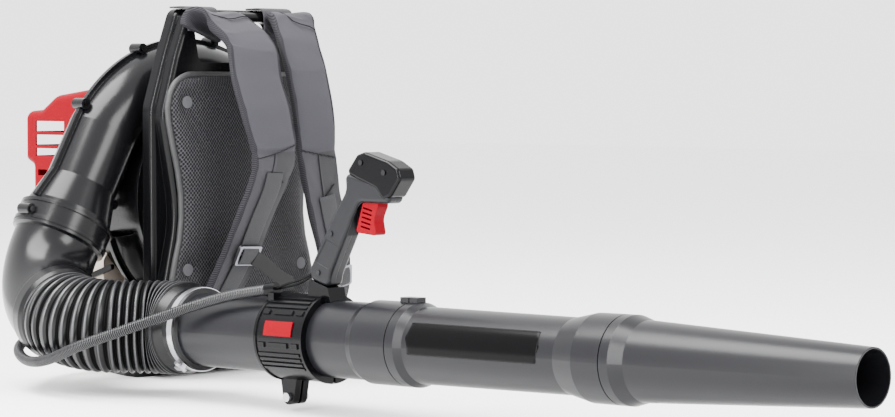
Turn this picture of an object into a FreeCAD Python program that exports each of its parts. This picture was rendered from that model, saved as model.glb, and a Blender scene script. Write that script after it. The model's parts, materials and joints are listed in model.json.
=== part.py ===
"""Backpack leaf blower: a two-stroke engine and fan on a back frame, with a swivelling blow tube.

+Z is up, +Y is forward (the way the tube blows and the wearer faces), +X is the wearer's right.
The origin is the middle of the base's flat underside.
"""

import FreeCAD, Part
import math
import os

import Sketcher
from FreeCAD import Placement, Rotation, Vector

os.makedirs("parts", exist_ok=True)

DOC = FreeCAD.newDocument("backpack_blower")
SHEET = DOC.addObject("Spreadsheet::Sheet", "dims")

# Driving dimensions in millimetres: name, value, meaning.
DIMENSIONS = [
    ("frame_height", 545, "top of the back frame above the ground"),
    ("frame_bottom", 15, "lower edge of the back frame"),
    ("frame_front", 140, "front face of the raised pad seat"),
    ("frame_step", 120, "front face of the frame's side flanges"),
    ("frame_back", 98, "rear edge of the frame"),
    ("frame_wall", 4, "wall of the moulded frame"),
    ("pad_gap", 0.3, "air left between soft goods and what they lie on"),
    ("pad_depth", 18, "thickness of the back pad"),
    ("fan_x", -15, "fan and crankshaft axis, sideways"),
    ("fan_z", 265, "fan and crankshaft axis, height"),
    ("seam_y", 20, "plane where the two fan casings meet"),
    ("casing_wall", 3, "wall of the fan casings"),
    ("drum_radius", 151, "fan chamber, outside"),
    ("drum_front", 68, "fan chamber, front wall"),
    ("drum_rear", -38, "fan chamber, rear wall"),
    ("intake_radius", 62, "air intake hole in the front casing"),
    ("fan_radius", 118, "fan wheel"),
    ("throat_radius", 53, "air duct where it leaves the fan, outside"),
    ("duct_radius", 64, "air duct at the outlet, outside"),
    ("elbow_wall", 3, "wall of the outlet elbow"),
    ("elbow_bend", 114, "centreline bend radius of the elbow"),
    ("hose_radius", 64, "flexible hose over its ribs"),
    ("hose_wall", 5, "depth of the hose's ribs"),
    ("hose_bend", 100, "centreline bend radius of the hose at rest"),
    ("tube_radius", 50.5, "upper blow tube, outside"),
    ("tube_wall", 2.2, "wall of the blow tubes"),
    ("bell_radius", 54.5, "sockets at the tube joints, outside"),
    ("joint_one", 405, "first tube joint, along the tube"),
    ("joint_two", 760, "second tube joint, along the tube"),
    ("tube_end", 1112, "mouth of the nozzle, along the tube"),
    ("mouth_radius", 34, "nozzle mouth, outside"),
    ("clamp_start", 165, "rear edge of the handle clamp, along the tube"),
    ("clamp_length", 92, "length of the handle clamp"),
    ("clamp_radius", 58, "handle clamp ring, outside"),
    ("grip_width", 29, "handle, side to side"),
    ("shaft_radius", 7.5, "crankshaft journals"),
    ("running_gap", 0.05, "radial clearance of shafts and pins"),
    ("crank_throw", 15, "crank pin offset"),
    ("bore_radius", 24, "engine cylinder bore"),
    ("tank_half_width", 118, "fuel tank, half of its width"),
    ("tank_top", 178, "top of the fuel tank"),
    ("tank_wall", 2.5, "wall of the fuel tank"),
    ("base_height", 36, "rim of the base tray"),
    ("cover_half_width", 105, "red engine cover, half of its width"),
    ("cover_wall", 2.5, "wall of the engine cover"),
    ("conduit_radius", 7.5, "control conduit, outside"),
    ("strap_thickness", 18, "padded shoulder straps"),
    ("screw_radius", 2.5, "casing screws"),
    ("bolt_radius", 3, "frame and clamp bolts"),
]


class Size:
    """A number together with the sheet formula that it comes from."""

    def __init__(self, value, text):
        self.value = float(value)
        self.text = text

    def __float__(self):
        return self.value

    def __add__(self, other):
        other = size(other)
        return Size(self.value + other.value, f"({self.text} + {other.text})")

    def __sub__(self, other):
        other = size(other)
        return Size(self.value - other.value, f"({self.text} - {other.text})")

    def __mul__(self, other):
        other = size(other)
        return Size(self.value * other.value, f"({self.text} * {other.text})")

    def __truediv__(self, other):
        other = size(other)
        return Size(self.value / other.value, f"({self.text} / {other.text})")

    def __neg__(self):
        return Size(-self.value, f"(-{self.text})")

    def __radd__(self, other):
        return size(other) + self

    def __rsub__(self, other):
        return size(other) - self

    __rmul__ = __mul__


def size(number):
    return number if isinstance(number, Size) else Size(number, repr(float(number)))


def fill_sheet():
    """Writes the driving dimensions to the sheet and returns them by name."""
    found = {}
    for row, (name, value, meaning) in enumerate(DIMENSIONS, start=1):
        SHEET.set(f"A{row}", meaning)
        SHEET.set(f"B{row}", str(value))
        SHEET.setAlias(f"B{row}", name)
        found[name] = Size(value, f"dims.{name}")
    DOC.recompute()
    return found


D = fill_sheet()
NODES = {}

UPRIGHT = Rotation()
FORWARD = Rotation(Vector(0, 0, 1), Vector(0, 1, 0))  # local z runs to +Y
REARWARD = Rotation(Vector(0, 0, 1), Vector(0, -1, 0))
RIGHTWARD = Rotation(Vector(0, 0, 1), Vector(1, 0, 0))
FACING = Rotation(Vector(1, 0, 0), 90)  # drawing in X and Z, thickness towards -Y
SIDEWAYS = Rotation(Vector(1, 1, 1), 120)  # drawing in Y and Z, thickness towards +X


def at(x, y, z, rotation=UPRIGHT):
    return Placement(Vector(float(x), float(y), float(z)), rotation)


def aim(direction):
    return Rotation(Vector(0, 0, 1), direction)


def add(kind, name, place, **sizes):
    """A Part primitive whose sizes are bound to the sheet."""
    made = DOC.addObject(f"Part::{kind}", name)
    for key, value in sizes.items():
        made.setExpression(key, size(value).text)
    made.Placement = place
    return made


def box(name, corner, lengths):
    length, width, height = lengths
    return add("Box", name, at(*corner), Length=length, Width=width, Height=height)


def cylinder(name, radius, height, place):
    return add("Cylinder", name, place, Radius=radius, Height=height)


def fuse(name, *shapes):
    made = DOC.addObject("Part::MultiFuse", name)
    made.Shapes = list(shapes)
    made.Refine = True
    return made


def common(name, first, second):
    made = DOC.addObject("Part::MultiCommon", name)
    made.Shapes = [first, second]
    return made


def cut(name, base, *tools):
    made = DOC.addObject("Part::Cut", name)
    made.Base = base
    made.Tool = tools[0] if len(tools) == 1 else fuse(f"{name}_tools", *tools)
    return made


def gather(name, *shapes):
    made = DOC.addObject("Part::Compound", name)
    made.Links = list(shapes)
    return made


def ring(name, outer, inner, height, place):
    """A tube section: outer and inner radius, along local z."""
    return lathe(name, [(inner, 0), (outer, 0), (outer, height), (inner, height)], place)


def origin_plane(body, role):
    return next(f for f in body.Origin.OriginFeatures if f.Role == role)


def add_sketch(body, name, role):
    sketch = body.newObject("Sketcher::SketchObject", name)
    sketch.AttachmentSupport = [(origin_plane(body, role), "")]
    sketch.MapMode = "FlatFace"
    return sketch


def draw_polygon(sketch, points):
    """A closed polygon whose corners are fixed to the sheet's values."""
    first = sketch.GeometryCount
    count = len(points)
    corners = [Vector(float(x), float(y), 0) for x, y in points]
    for index in range(count):
        sketch.addGeometry(Part.LineSegment(corners[index], corners[(index + 1) % count]), False)
    for index in range(count):
        following = first + (index + 1) % count
        sketch.addConstraint(Sketcher.Constraint("Coincident", first + index, 2, following, 1))
    for index, point in enumerate(points, start=first):
        for kind, coordinate in zip(("DistanceX", "DistanceY"), point):
            rule = Sketcher.Constraint(kind, -1, 1, index, 1, float(coordinate))
            number = sketch.addConstraint(rule)
            if isinstance(coordinate, Size):
                name = f"{kind[-1].lower()}{index}"
                sketch.renameConstraint(number, name)
                sketch.setExpression(f"Constraints.{name}", coordinate.text)


def lathe(name, profile, place):
    """A turned piece: the profile is radius and height pairs, spun round local z."""
    body = DOC.addObject("PartDesign::Body", name)
    sketch = add_sketch(body, f"{name}_profile", "XZ_Plane")
    draw_polygon(sketch, profile)
    turned = body.newObject("PartDesign::Revolution", f"{name}_turn")
    turned.Profile = sketch
    turned.ReferenceAxis = (sketch, ["V_Axis"])
    turned.Angle = 360
    body.Placement = place
    return body


def rounded_wire(corners):
    """A closed wire through corners (x, y, radius), each rounded by a tangent arc."""
    edges = []
    arcs = []
    count = len(corners)
    for index in range(count):
        before, here, after = (
            Vector(*map(float, corners[(index + k) % count][:2]), 0) for k in (-1, 0, 1)
        )
        radius = float(corners[index][2])
        into = (before - here).normalize()
        out = (after - here).normalize()
        half = into.getAngle(out) / 2
        reach = radius / math.tan(half)
        start = here + into * reach
        end = here + out * reach
        centre = here + (into + out).normalize() * (radius / math.sin(half))
        middle = centre + (here - centre).normalize() * radius
        arcs.append((start, middle, end))
    for index, (start, middle, end) in enumerate(arcs):
        edges.append(Part.Arc(start, middle, end).toShape())
        following = arcs[(index + 1) % count][0]
        if (following - end).Length > 1e-6:
            edges.append(Part.LineSegment(end, following).toShape())
    return Part.Wire(edges)


def profile_feature(name, corners, place):
    made = DOC.addObject("Part::Feature", name)
    made.Shape = rounded_wire(corners)
    made.Placement = place
    return made


def extrude(name, corners, length, place):
    """A rounded outline pushed along local z by a length from the sheet."""
    made = DOC.addObject("Part::Extrusion", name)
    made.Base = profile_feature(f"{name}_outline", corners, place)
    made.DirMode = "Custom"
    made.Dir = place.Rotation.multVec(Vector(0, 0, 1))
    made.setExpression("LengthFwd", size(length).text)
    made.Solid = True
    return made


def fillet(name, base, radius, wanted):
    """Rounds the edges of base that wanted(edge) picks."""
    DOC.recompute()
    picked = [number for number, edge in enumerate(base.Shape.Edges, start=1) if wanted(edge)]
    made = DOC.addObject("Part::Fillet", name)
    made.Base = base
    made.Edges = [(number, float(radius), float(radius)) for number in picked]
    return made


def sweep(name, radius, wire, start, direction):
    """A solid round bar of that radius along a wire."""
    spine = DOC.addObject("Part::Feature", f"{name}_route")
    spine.Shape = wire
    section = add("Circle", f"{name}_section", Placement(start, aim(direction)), Radius=radius)
    made = DOC.addObject("Part::Sweep", name)
    made.Sections = [section]
    made.Spine = (spine, [f"Edge{k}" for k in range(1, len(wire.Edges) + 1)])
    made.Solid = True
    made.Frenet = False
    return made


def arc_route(points, radii=None):
    """Straight runs through points joined by tangent arcs. Without radii, each arc is as large as
    0.45 of its shorter run allows. Returns the wire and the radii used."""
    edges = []
    used = []
    here = points[0]
    for index in range(1, len(points) - 1):
        corner = points[index]
        into = (points[index - 1] - corner)
        out = (points[index + 1] - corner)
        half_turn = (math.pi - into.getAngle(out)) / 2
        shorter = min(into.Length, out.Length)
        radius = radii[index - 1] if radii else 0.45 * shorter / math.tan(half_turn)
        reach = radius * math.tan(half_turn)
        into.normalize()
        out.normalize()
        start = corner + into * reach
        end = corner + out * reach
        centre = corner + (into + out).normalize() * (radius / math.cos(half_turn))
        middle = centre + (corner - centre).normalize() * radius
        edges.append(Part.LineSegment(here, start).toShape())
        edges.append(Part.Arc(start, middle, end).toShape())
        used.append(radius)
        here = end
    edges.append(Part.LineSegment(here, points[-1]).toShape())
    return Part.Wire(edges), used


def node(made, label):
    """Keeps an object as a sub-part, written to parts/label.step."""
    made.Label = label
    NODES[label] = made
    return made


# ---------------------------------------------------------------- back frame and base

def mirrored(right_side):
    """A symmetric outline from its right half, listed from the bottom up."""
    return right_side + [(-x, z, radius) for x, z, radius in reversed(right_side)]


def grown(corners, by):
    """An outline whose corners move away from its middle by that much each way (towards it if negative)."""
    mid_x = sum(corner[0] for corner in corners) / len(corners)
    mid_y = sum(corner[1] for corner in corners) / len(corners)
    return [
        (x + math.copysign(1, x - mid_x) * by, y + math.copysign(1, y - mid_y) * by, max(radius + by, 2))
        for x, y, radius in corners
    ]


FRAME_TOP = float(D["frame_height"])
FRAME_LOW = float(D["frame_bottom"])
FLANGE = mirrored([
    (125, FRAME_LOW, 12),
    (150, 70, 30),
    (150, 400, 60),
    (124, 480, 60),
    (100, FRAME_TOP, 18),
])
SEAT = mirrored([
    (118, FRAME_LOW + 25, 20),
    (145, 132, 50),
    (120, 240, 190),
    (146, 392, 55),
    (121, 476, 50),
    (96, FRAME_TOP - 4, 16),
])
HAND_HOLE = [(-77, 466, 12), (77, 466, 12), (88, 527, 12), (-88, 527, 12)]


def front_plane(y):
    return at(0, y, 0, FACING)


def lies_at_y(y):
    """Picks the edges that lie wholly in the plane at y."""
    return lambda edge: edge.BoundBox.YMin > y - 0.01 and edge.BoundBox.YMax < y + 0.01


def make_back_frame():
    step, front, back, wall = D["frame_step"], D["frame_front"], D["frame_back"], D["frame_wall"]
    flange = extrude("frame_flange", FLANGE, step - back, front_plane(step))
    flange = fillet("frame_flange_soft", flange, 8, lies_at_y(float(step)))
    seat = extrude("frame_seat", SEAT, front - back, front_plane(front))
    seat = fillet("frame_seat_soft", seat, 9, lies_at_y(float(front)))
    inset = -float(wall)
    flange_room = extrude("frame_flange_room", grown(FLANGE, inset), step - back, front_plane(step - wall))
    seat_room = extrude("frame_seat_room", grown(SEAT, inset), front - back, front_plane(front - wall))
    shell = cut("frame_shell", fuse("frame_outer", flange, seat), flange_room, seat_room)
    rim = extrude("hand_hole_rim", grown(HAND_HOLE, 4), front - back, front_plane(front))
    rim = common("hand_hole_rim_in", rim, fuse("frame_outer_again", flange, seat))
    hole = extrude("hand_hole", HAND_HOLE, (front - back) * 2, front_plane(front + 20))
    return node(cut("frame_open", fuse("frame_with_rim", shell, rim), hole), "back_frame")


def make_frame_back_plate():
    back = D["frame_back"]
    plate = extrude("back_plate_sheet", grown(FLANGE, -7), 3, front_plane(back))
    hole = extrude("back_plate_hole", grown(HAND_HOLE, 5), 20, front_plane(back + 10))
    breather = [
        cylinder(f"back_plate_vent{k}", 9, 20, at(D["fan_x"] + dx, back - 10, D["fan_z"] + dz, FORWARD))
        for k, (dx, dz) in enumerate([(0, 0), (32, 0), (-32, 0), (0, 32), (0, -32)])
    ]
    return node(cut("back_plate_cut", plate, hole, *breather), "frame_back_plate")


BASE = [(-85, -130, 25), (85, -130, 25), (130, 30, 25), (130, 60, 8), (-130, 60, 8), (-130, 30, 25)]
BASE_ROOM = [(-80, -125, 20), (80, -125, 20), (124, 31, 20), (124, 54, 4), (-124, 54, 4), (-124, 31, 20)]
BRIDGE_BOLTS = [(-95, 26), (-35, 26), (35, 26), (95, 26)]


def make_base():
    rim = D["base_height"]
    tray = extrude("base_outer", BASE, rim, at(0, 0, 0))
    room = extrude("base_room", BASE_ROOM, rim, at(0, 0, 6))
    bridge = box("base_bridge", (-112, 58, 17), (224, D["frame_back"] - 3 - 58, 18))
    holes = [
        cylinder(f"base_bolt_hole{k}", D["bolt_radius"], 60, at(x, 50, z, FORWARD))
        for k, (x, z) in enumerate(BRIDGE_BOLTS)
    ]
    made = cut("base_cut", fuse("base_body", cut("base_hollow", tray, room), bridge), *holes)
    node(made, "base_tray")
    bolts = []
    for k, (x, z) in enumerate(BRIDGE_BOLTS):
        reach = D["frame_back"] - 3 - 54
        shank = cylinder(f"base_bolt_shank{k}", D["bolt_radius"], reach, at(x, 54, z, FORWARD))
        head = cylinder(f"base_bolt_head{k}", 5, 4, at(x, 50, z, FORWARD))
        bolts.append(fuse(f"base_bolt{k}", shank, head))
    return node(gather("base_bolt_set", *bolts), "frame_bolts")


make_back_frame()
make_frame_back_plate()
make_base()


# ---------------------------------------------------------------- fan casing

FAN = Vector(float(D["fan_x"]), float(D["seam_y"]), float(D["fan_z"]))
OUTLET_ANGLE = 29  # the outlet leans this far outward from straight down
SCROLL_START = 20
SCROLL_END = 360 - OUTLET_ANGLE
OUTLET = Vector(math.sin(math.radians(OUTLET_ANGLE)), 0, -math.cos(math.radians(OUTLET_ANGLE)))
DUCT = float(D["duct_radius"])
THROAT = float(D["throat_radius"])
DUCT_LENGTH = 149
FLARE_START, FLARE_END = 88, 134  # where the duct widens, along it


def scroll_section(turned):
    """Centre, tangent direction and tube radius of the scroll after turning clockwise by that angle."""
    share = turned / SCROLL_END
    radius = 38 + (THROAT - 38) * share
    reach = 170 + (200 + THROAT - 170) * share ** 1.5
    angle = -math.radians(turned)
    outward = Vector(math.cos(angle), 0, math.sin(angle))
    forward = Vector(math.sin(angle), 0, -math.cos(angle))
    return FAN + outward * (reach - radius), forward, radius


def scroll(name, growth):
    """The tapering tube of the scroll, with its radius changed by growth."""
    sections = []
    steps = 12
    for k in range(steps + 1):
        turned = SCROLL_START + (SCROLL_END - SCROLL_START) * k / steps
        centre, forward, radius = scroll_section(turned)
        place = Placement(centre, aim(forward))
        sections.append(add("Circle", f"{name}_section{k}", place, Radius=radius + growth))
    made = DOC.addObject("Part::Loft", name)
    made.Sections = sections
    made.Solid = True
    made.Ruled = False
    return made


SCROLL_EXIT = scroll_section(SCROLL_END)[0]
COLLAR = SCROLL_EXIT + OUTLET * DUCT_LENGTH  # where the duct ends and the elbow's neck begins
ACROSS = Vector(-OUTLET.z, 0, OUTLET.x)  # away from the fan, square to the outlet
COLLAR_SCREW = COLLAR + OUTLET * 13.5 + ACROSS * (DUCT + 8.5)


def screw_places():
    """Centres of the casing screws round the seam."""
    places = []
    for turned in (296, 262, 222, 180, 140, 327):
        centre, forward, radius = scroll_section(turned)
        outward = (centre - FAN).normalize()
        places.append(centre + outward * (radius + 7))
    places.append(SCROLL_EXIT + OUTLET * 88 - ACROSS * (THROAT + 6))
    return places


def flared(name, growth, end):
    """The duct from the scroll to that distance along it, with its radius changed by growth."""
    throat, duct = D["throat_radius"] + growth, D["duct_radius"] + growth
    outline = [(0, 0), (throat, 0), (throat, FLARE_START), (duct, FLARE_END), (duct, end), (0, end)]
    return lathe(name, outline, Placement(SCROLL_EXIT, aim(OUTLET)))


def seam_disc(name, place, radius, y_from, y_to):
    return cylinder(name, radius, y_to - y_from, at(place.x, y_from, place.z, FORWARD))


def make_casing():
    seam, wall = float(D["seam_y"]), D["casing_wall"]
    fan_x, fan_z = D["fan_x"], D["fan_z"]
    rear, front, drum_radius = D["drum_rear"], D["drum_front"], D["drum_radius"]
    drum = cylinder("drum", drum_radius, front - rear, at(fan_x, rear, fan_z, FORWARD))
    drum_room = cylinder(
        "drum_room", drum_radius - wall, front - rear - wall * 2, at(fan_x, rear + wall, fan_z, FORWARD)
    )
    intake = cylinder("intake_hole", D["intake_radius"], 20, at(fan_x, front - 10, fan_z, FORWARD))
    shaft_hole = cylinder("shaft_hole", 18, 20, at(fan_x, rear - 10, fan_z, FORWARD))
    duct = flared("duct", 0, DUCT_LENGTH - 2)
    duct_room = flared("duct_room", -wall, DUCT_LENGTH + 10)
    duct_rim = flared("duct_rim", 7, DUCT_LENGTH - 12)
    slab = box("seam_slab", (-400, seam - 3.5, -100), (900, 7, 800))
    rim = common("seam_rim", fuse("seam_rim_body", scroll("scroll_rim", 7), duct_rim), slab)
    bosses = [seam_disc(f"boss{k}", p, 8, seam - 12, seam + 12) for k, p in enumerate(screw_places())]
    holes = [
        seam_disc(f"boss_hole{k}", p, D["screw_radius"], seam - 20, seam + 20)
        for k, p in enumerate(screw_places())
    ]
    outer = fuse("casing_outer", drum, scroll("scroll_outer", 0), duct, rim, *bosses)
    room = fuse("casing_room", drum_room, scroll("scroll_room", -wall), duct_room)
    whole = cut("casing", cut("casing_shell", outer, room), intake, shaft_hole, *holes)
    ahead = box("ahead_of_seam", (-400, seam, -100), (900, 300, 800))
    behind = box("behind_seam", (-400, seam - 300, -100), (900, 300, 800))
    node(common("casing_front", whole, ahead), "volute_front")
    node(common("casing_rear", whole, behind), "volute_rear")
    screws = []
    for k, place in enumerate(screw_places()):
        shank = seam_disc(f"casing_shank{k}", place, D["screw_radius"], seam - 10, seam + 12)
        head = seam_disc(f"casing_head{k}", place, 4.5, seam + 12, seam + 15)
        screws.append(fuse(f"casing_screw{k}", shank, head))
    shank = seam_disc("collar_shank", COLLAR_SCREW, D["screw_radius"], seam - 10, seam + 12)
    head = seam_disc("collar_head", COLLAR_SCREW, 4.5, seam + 12, seam + 15)
    screws.append(fuse("collar_screw", shank, head))
    node(gather("casing_screw_set", *screws), "volute_screws")


def make_intake_grille():
    """Rings and spokes over the air intake, on the front casing."""
    front, radius = D["drum_front"], float(D["intake_radius"])
    place = at(D["fan_x"], front, D["fan_z"], FORWARD)
    radii = (radius + 4, 46, 28, 10)
    rings = [ring(f"grille_ring{k}", r + 2, r - 2, 3, place) for k, r in enumerate(radii)]
    spokes = []
    for k in range(6):
        turn = Rotation(Vector(0, 0, 1), 60 * k + 30)
        spoke = box(f"grille_spoke{k}", (0, 0, 0), (radius - 5, 3, 3))
        spoke.Placement = place.multiply(Placement(turn.multVec(Vector(9, -1.5, 0)), turn))
        spokes.append(spoke)
    return node(fuse("grille", *rings, *spokes), "intake_grille")


def make_fan():
    """Back plate, hub and curved blades of the fan wheel."""
    rear = float(D["drum_rear"])
    place = at(D["fan_x"], 0, D["fan_z"], FORWARD)
    radius, shaft = D["fan_radius"], D["shaft_radius"]
    disc = lathe("fan_disc", [
        (shaft, rear + 8), (radius, rear + 8), (radius, rear + 11),
        (30, rear + 14), (20, rear + 60), (shaft, rear + 60),
    ], place)
    blades = []
    count = 14
    for k in range(count):
        start = Vector(44, 0, 0)
        end = Vector(float(radius) * 0.9, -float(radius) * 0.42, 0)
        middle = Vector(84, -10, 0)
        line = Part.Arc(start, middle, end).toShape()
        blade = line.extrude(Vector(0, 0, 66)).makeOffsetShape(1.2, 0.01, fill=True)
        made = DOC.addObject("Part::Feature", f"fan_blade{k}")
        made.Shape = blade
        turn = Rotation(Vector(0, 0, 1), 360 / count * k)
        made.Placement = place.multiply(Placement(Vector(0, 0, rear + 10.5), turn))
        blades.append(made)
    return node(fuse("fan_wheel", disc, *blades), "impeller")


make_casing()
make_intake_grille()
make_fan()


def make_rubber(feet):
    """Rubber blocks that carry the fan casing on the back frame, with the feet of the tank."""
    front, back = D["drum_front"], D["frame_back"] - 3
    blocks = [
        cylinder(f"isolator{k}", 13, back - front, at(D["fan_x"] + dx, front, D["fan_z"] + dz, FORWARD))
        for k, (dx, dz) in enumerate([(88, 80), (-88, 80), (88, -80), (-88, -80)])
    ]
    node(gather("rubber_set", *blocks, *feet), "rubber_mounts")


# ---------------------------------------------------------------- fuel tank

TANK_HALF = float(D["tank_half_width"])
TANK = [(-TANK_HALF, -150, 24), (TANK_HALF, -150, 24), (TANK_HALF, 70, 24), (-TANK_HALF, 70, 24)]
TANK_LOW = float(D["base_height"]) + 6
FILLER = Vector(-78, -120, float(D["tank_top"]))


def end_edges(low, high):
    """Picks the edges that lie wholly in the plane at either height."""
    def wanted(edge):
        bounds = edge.BoundBox
        return any(abs(bounds.ZMin - z) < 0.01 and abs(bounds.ZMax - z) < 0.01 for z in (low, high))
    return wanted


def make_tank():
    wall, top = D["tank_wall"], D["tank_top"]
    fan_x, fan_z = D["fan_x"], D["fan_z"]
    shell = extrude("tank_block", TANK, top - TANK_LOW, at(0, 0, TANK_LOW))
    shell = fillet("tank_soft", shell, 11, end_edges(TANK_LOW, float(top)))
    inner = grown(TANK, -float(wall))
    room = extrude("tank_room", inner, top - TANK_LOW - wall * 2, at(0, 0, TANK_LOW + float(wall)))
    room = fillet("tank_room_soft", room, 9, end_edges(TANK_LOW + float(wall), float(top) - float(wall)))
    saddles = []
    for grow in (0, float(wall)):
        name = f"tank_saddle{grow:.0f}"
        deep = cylinder(f"{name}_deep", 203 + grow, 150, at(fan_x, -34 - grow, fan_z, FORWARD))
        drum = cylinder(f"{name}_drum", D["drum_radius"] + 3 + grow, 150, at(fan_x, -41 - grow, fan_z, FORWARD))
        saddles.append(fuse(name, deep, drum))
    saddle, saddle_wall = saddles
    neck = cylinder("filler_neck", 20, 14, at(FILLER.x, FILLER.y, FILLER.z - 2))
    bore = cylinder("filler_bore", 17, 30, at(FILLER.x, FILLER.y, FILLER.z - 10))
    room = cut("tank_hollow", room, saddle_wall)
    solid = fuse("tank_with_neck", cut("tank_shell", shell, saddle), neck)
    node(cut("tank_body", solid, room, bore), "fuel_tank")
    cap_top = FILLER.z + 20
    cap = lathe("cap", [
        (0, 14), (20 + float(D["running_gap"]), 14), (20 + float(D["running_gap"]), 1),
        (25, 1), (25, 17), (22, 20), (0, 20),
    ], Placement(FILLER, UPRIGHT))
    grips = []
    for k in range(12):
        angle = math.radians(30 * k)
        spot = FILLER + Vector(25 * math.cos(angle), 25 * math.sin(angle), 1.5)
        grips.append(cylinder(f"cap_grip{k}", 2.2, 15, Placement(spot, UPRIGHT)))
    bar = box("cap_bar", (FILLER.x - 18, FILLER.y - 3, cap_top - 1), (36, 6, 8))
    node(fuse("fuel_cap_body", cap, bar, *grips), "fuel_cap")
    feet = [
        cylinder(f"tank_foot{k}", 10, D["base_height"], at(x, y, 6))
        for k, (x, y) in enumerate([(-62, -100), (62, -100), (-92, 15), (92, 15)])
    ]
    make_rubber(feet)
    node(cylinder("fuel_pipe", 3, 325 - float(top), at(-84, -75, top)), "fuel_line")
    stay = extrude("tank_stay_bar", [(-74, 135, 3), (-8, 157, 3), (-10, 165, 3), (-76, 143, 3)], 6,
                   at(118, 0, 0, SIDEWAYS))
    gland = cylinder("stay_gland", 11, 10, at(118, -58, 61, RIGHTWARD))
    foot = box("stay_foot", (118, -72, 61), (6, 14, 84))
    node(fuse("stay_body", stay, foot, gland), "tank_stay")


make_tank()


# ---------------------------------------------------------------- engine

ENGINE_Y = -80


def on_shaft(y=0):
    return at(D["fan_x"], y, D["fan_z"], FORWARD)


def make_engine():
    fan_x, fan_z = float(D["fan_x"]), float(D["fan_z"])
    shaft, gap, bore, throw = D["shaft_radius"], D["running_gap"], D["bore_radius"], float(D["crank_throw"])
    block = box("crank_block", (fan_x - 45, -110, fan_z - 45), (90, 66, 90))
    nose = cylinder("crank_nose", 44, 6, on_shaft(-44))
    tunnel = cylinder("crank_tunnel", 16, 60, on_shaft(-110))
    throat = cylinder("crank_throat", 12, 30, on_shaft(-60))
    chamber = cylinder("crank_chamber", 32, 40, on_shaft(-100))
    mouth = cylinder("crank_mouth", bore, 60, at(fan_x, ENGINE_Y, fan_z))
    solid = fuse("crank_solid", block, nose)
    node(cut("crankcase_body", solid, tunnel, throat, chamber, mouth), "crankcase")
    bearings = [ring(f"bearing{k}", 16, shaft + gap, 10, on_shaft(y)) for k, y in enumerate((-110, -60))]
    node(gather("bearing_pair", *bearings), "bearings")
    spindle = lathe("crank_spindle", [
        (0, -146), (shaft, -146), (shaft, -96), (26, -96), (26, -84), (0, -84),
    ], on_shaft())
    front_half = lathe("crank_front", [
        (0, -76), (26, -76), (26, -64), (shaft, -64), (shaft, 46), (0, 46),
    ], on_shaft())
    pin = cylinder("crank_pin", 7, 8, at(fan_x, -84, fan_z + throw, FORWARD))
    node(fuse("crank_all", spindle, pin, front_half), "crankshaft")
    wheel = lathe("wheel_disc", [
        (shaft, -144), (14, -144), (14, -140), (48, -140),
        (48, -127), (20, -127), (14, -131), (shaft, -131),
    ], on_shaft())
    fins = []
    for k in range(10):
        turn = Rotation(Vector(0, 0, 1), 36 * k)
        fin = box(f"wheel_fin{k}", (0, 0, 0), (22, 2.5, 5))
        fin.Placement = on_shaft(-145).multiply(Placement(turn.multVec(Vector(20, -1.25, 0)), turn))
        fins.append(fin)
    node(fuse("wheel_all", wheel, *fins), "flywheel")
    profile = [(bore, 310), (40, 310), (40, 315), (31, 315)]
    for k in range(7):
        low = 320 + 9 * k
        profile += [(31, low), (42, low), (42, low + 3), (31, low + 3)]
    profile += [(31, 388), (7, 388), (7, 379), (bore, 375)]
    barrel = lathe("barrel", profile, at(fan_x, ENGINE_Y, 0))
    exhaust = box("exhaust_block", (fan_x + 26, ENGINE_Y - 16, 331), (29, 32, 24))
    inlet = box("inlet_block", (fan_x - 55, ENGINE_Y - 16, 331), (29, 32, 24))
    exhaust_bore = cylinder("exhaust_bore", 9, 50, at(fan_x + 10, ENGINE_Y, 343, RIGHTWARD))
    inlet_bore = cylinder("inlet_bore", 9, 50, at(fan_x - 60, ENGINE_Y, 343, RIGHTWARD))
    ported = fuse("barrel_ported", barrel, exhaust, inlet)
    node(cut("cylinder_body", ported, exhaust_bore, inlet_bore), "cylinder")
    node(lathe("piston_body", [
        (0, 340), (19, 340), (19, 318), (bore - gap, 318), (bore - gap, 347), (21, 350), (0, 350),
    ], at(fan_x, ENGINE_Y, 0)), "piston")
    node(lathe("plug_body", [
        (0, 372), (2, 372), (2, 378), (6.95, 378), (6.95, 388),
        (11, 388), (11, 394), (6, 396), (6, 410), (0, 410),
    ], at(fan_x, ENGINE_Y, 0)), "spark_plug")
    coil = box("coil_block", (fan_x - 18, -138, fan_z + 49), (36, 13, 24))
    coil_arm = box("coil_arm", (fan_x - 50, -138, fan_z + 55), (34, 6, 14))
    coil_leg = box("coil_leg", (fan_x - 50, -138, fan_z + 30), (5, 28, 30))
    node(fuse("coil_all", coil, coil_arm, coil_leg), "ignition_coil")


def make_muffler():
    fan_x = float(D["fan_x"])
    outline = [(fan_x + 55, -142, 10), (88, -142, 10), (88, -62, 10), (fan_x + 55, -62, 10)]
    can = extrude("muffler_can", outline, 62, at(0, 0, 308))
    can = fillet("muffler_soft", can, 6, end_edges(308, 370))
    room = extrude("muffler_room", grown(outline, -2), 56, at(0, 0, 311))
    inlet = cylinder("muffler_inlet", 9, 10, at(fan_x + 50, ENGINE_Y, 343, RIGHTWARD))
    outlet = cylinder("muffler_outlet", 7, 20, at(70, -152, 330, FORWARD))
    stub = cylinder("muffler_stub", 9, 14, at(70, -154, 330, FORWARD))
    node(cut("muffler_body", fuse("muffler_with_stub", can, stub), room, inlet, outlet), "muffler")


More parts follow.
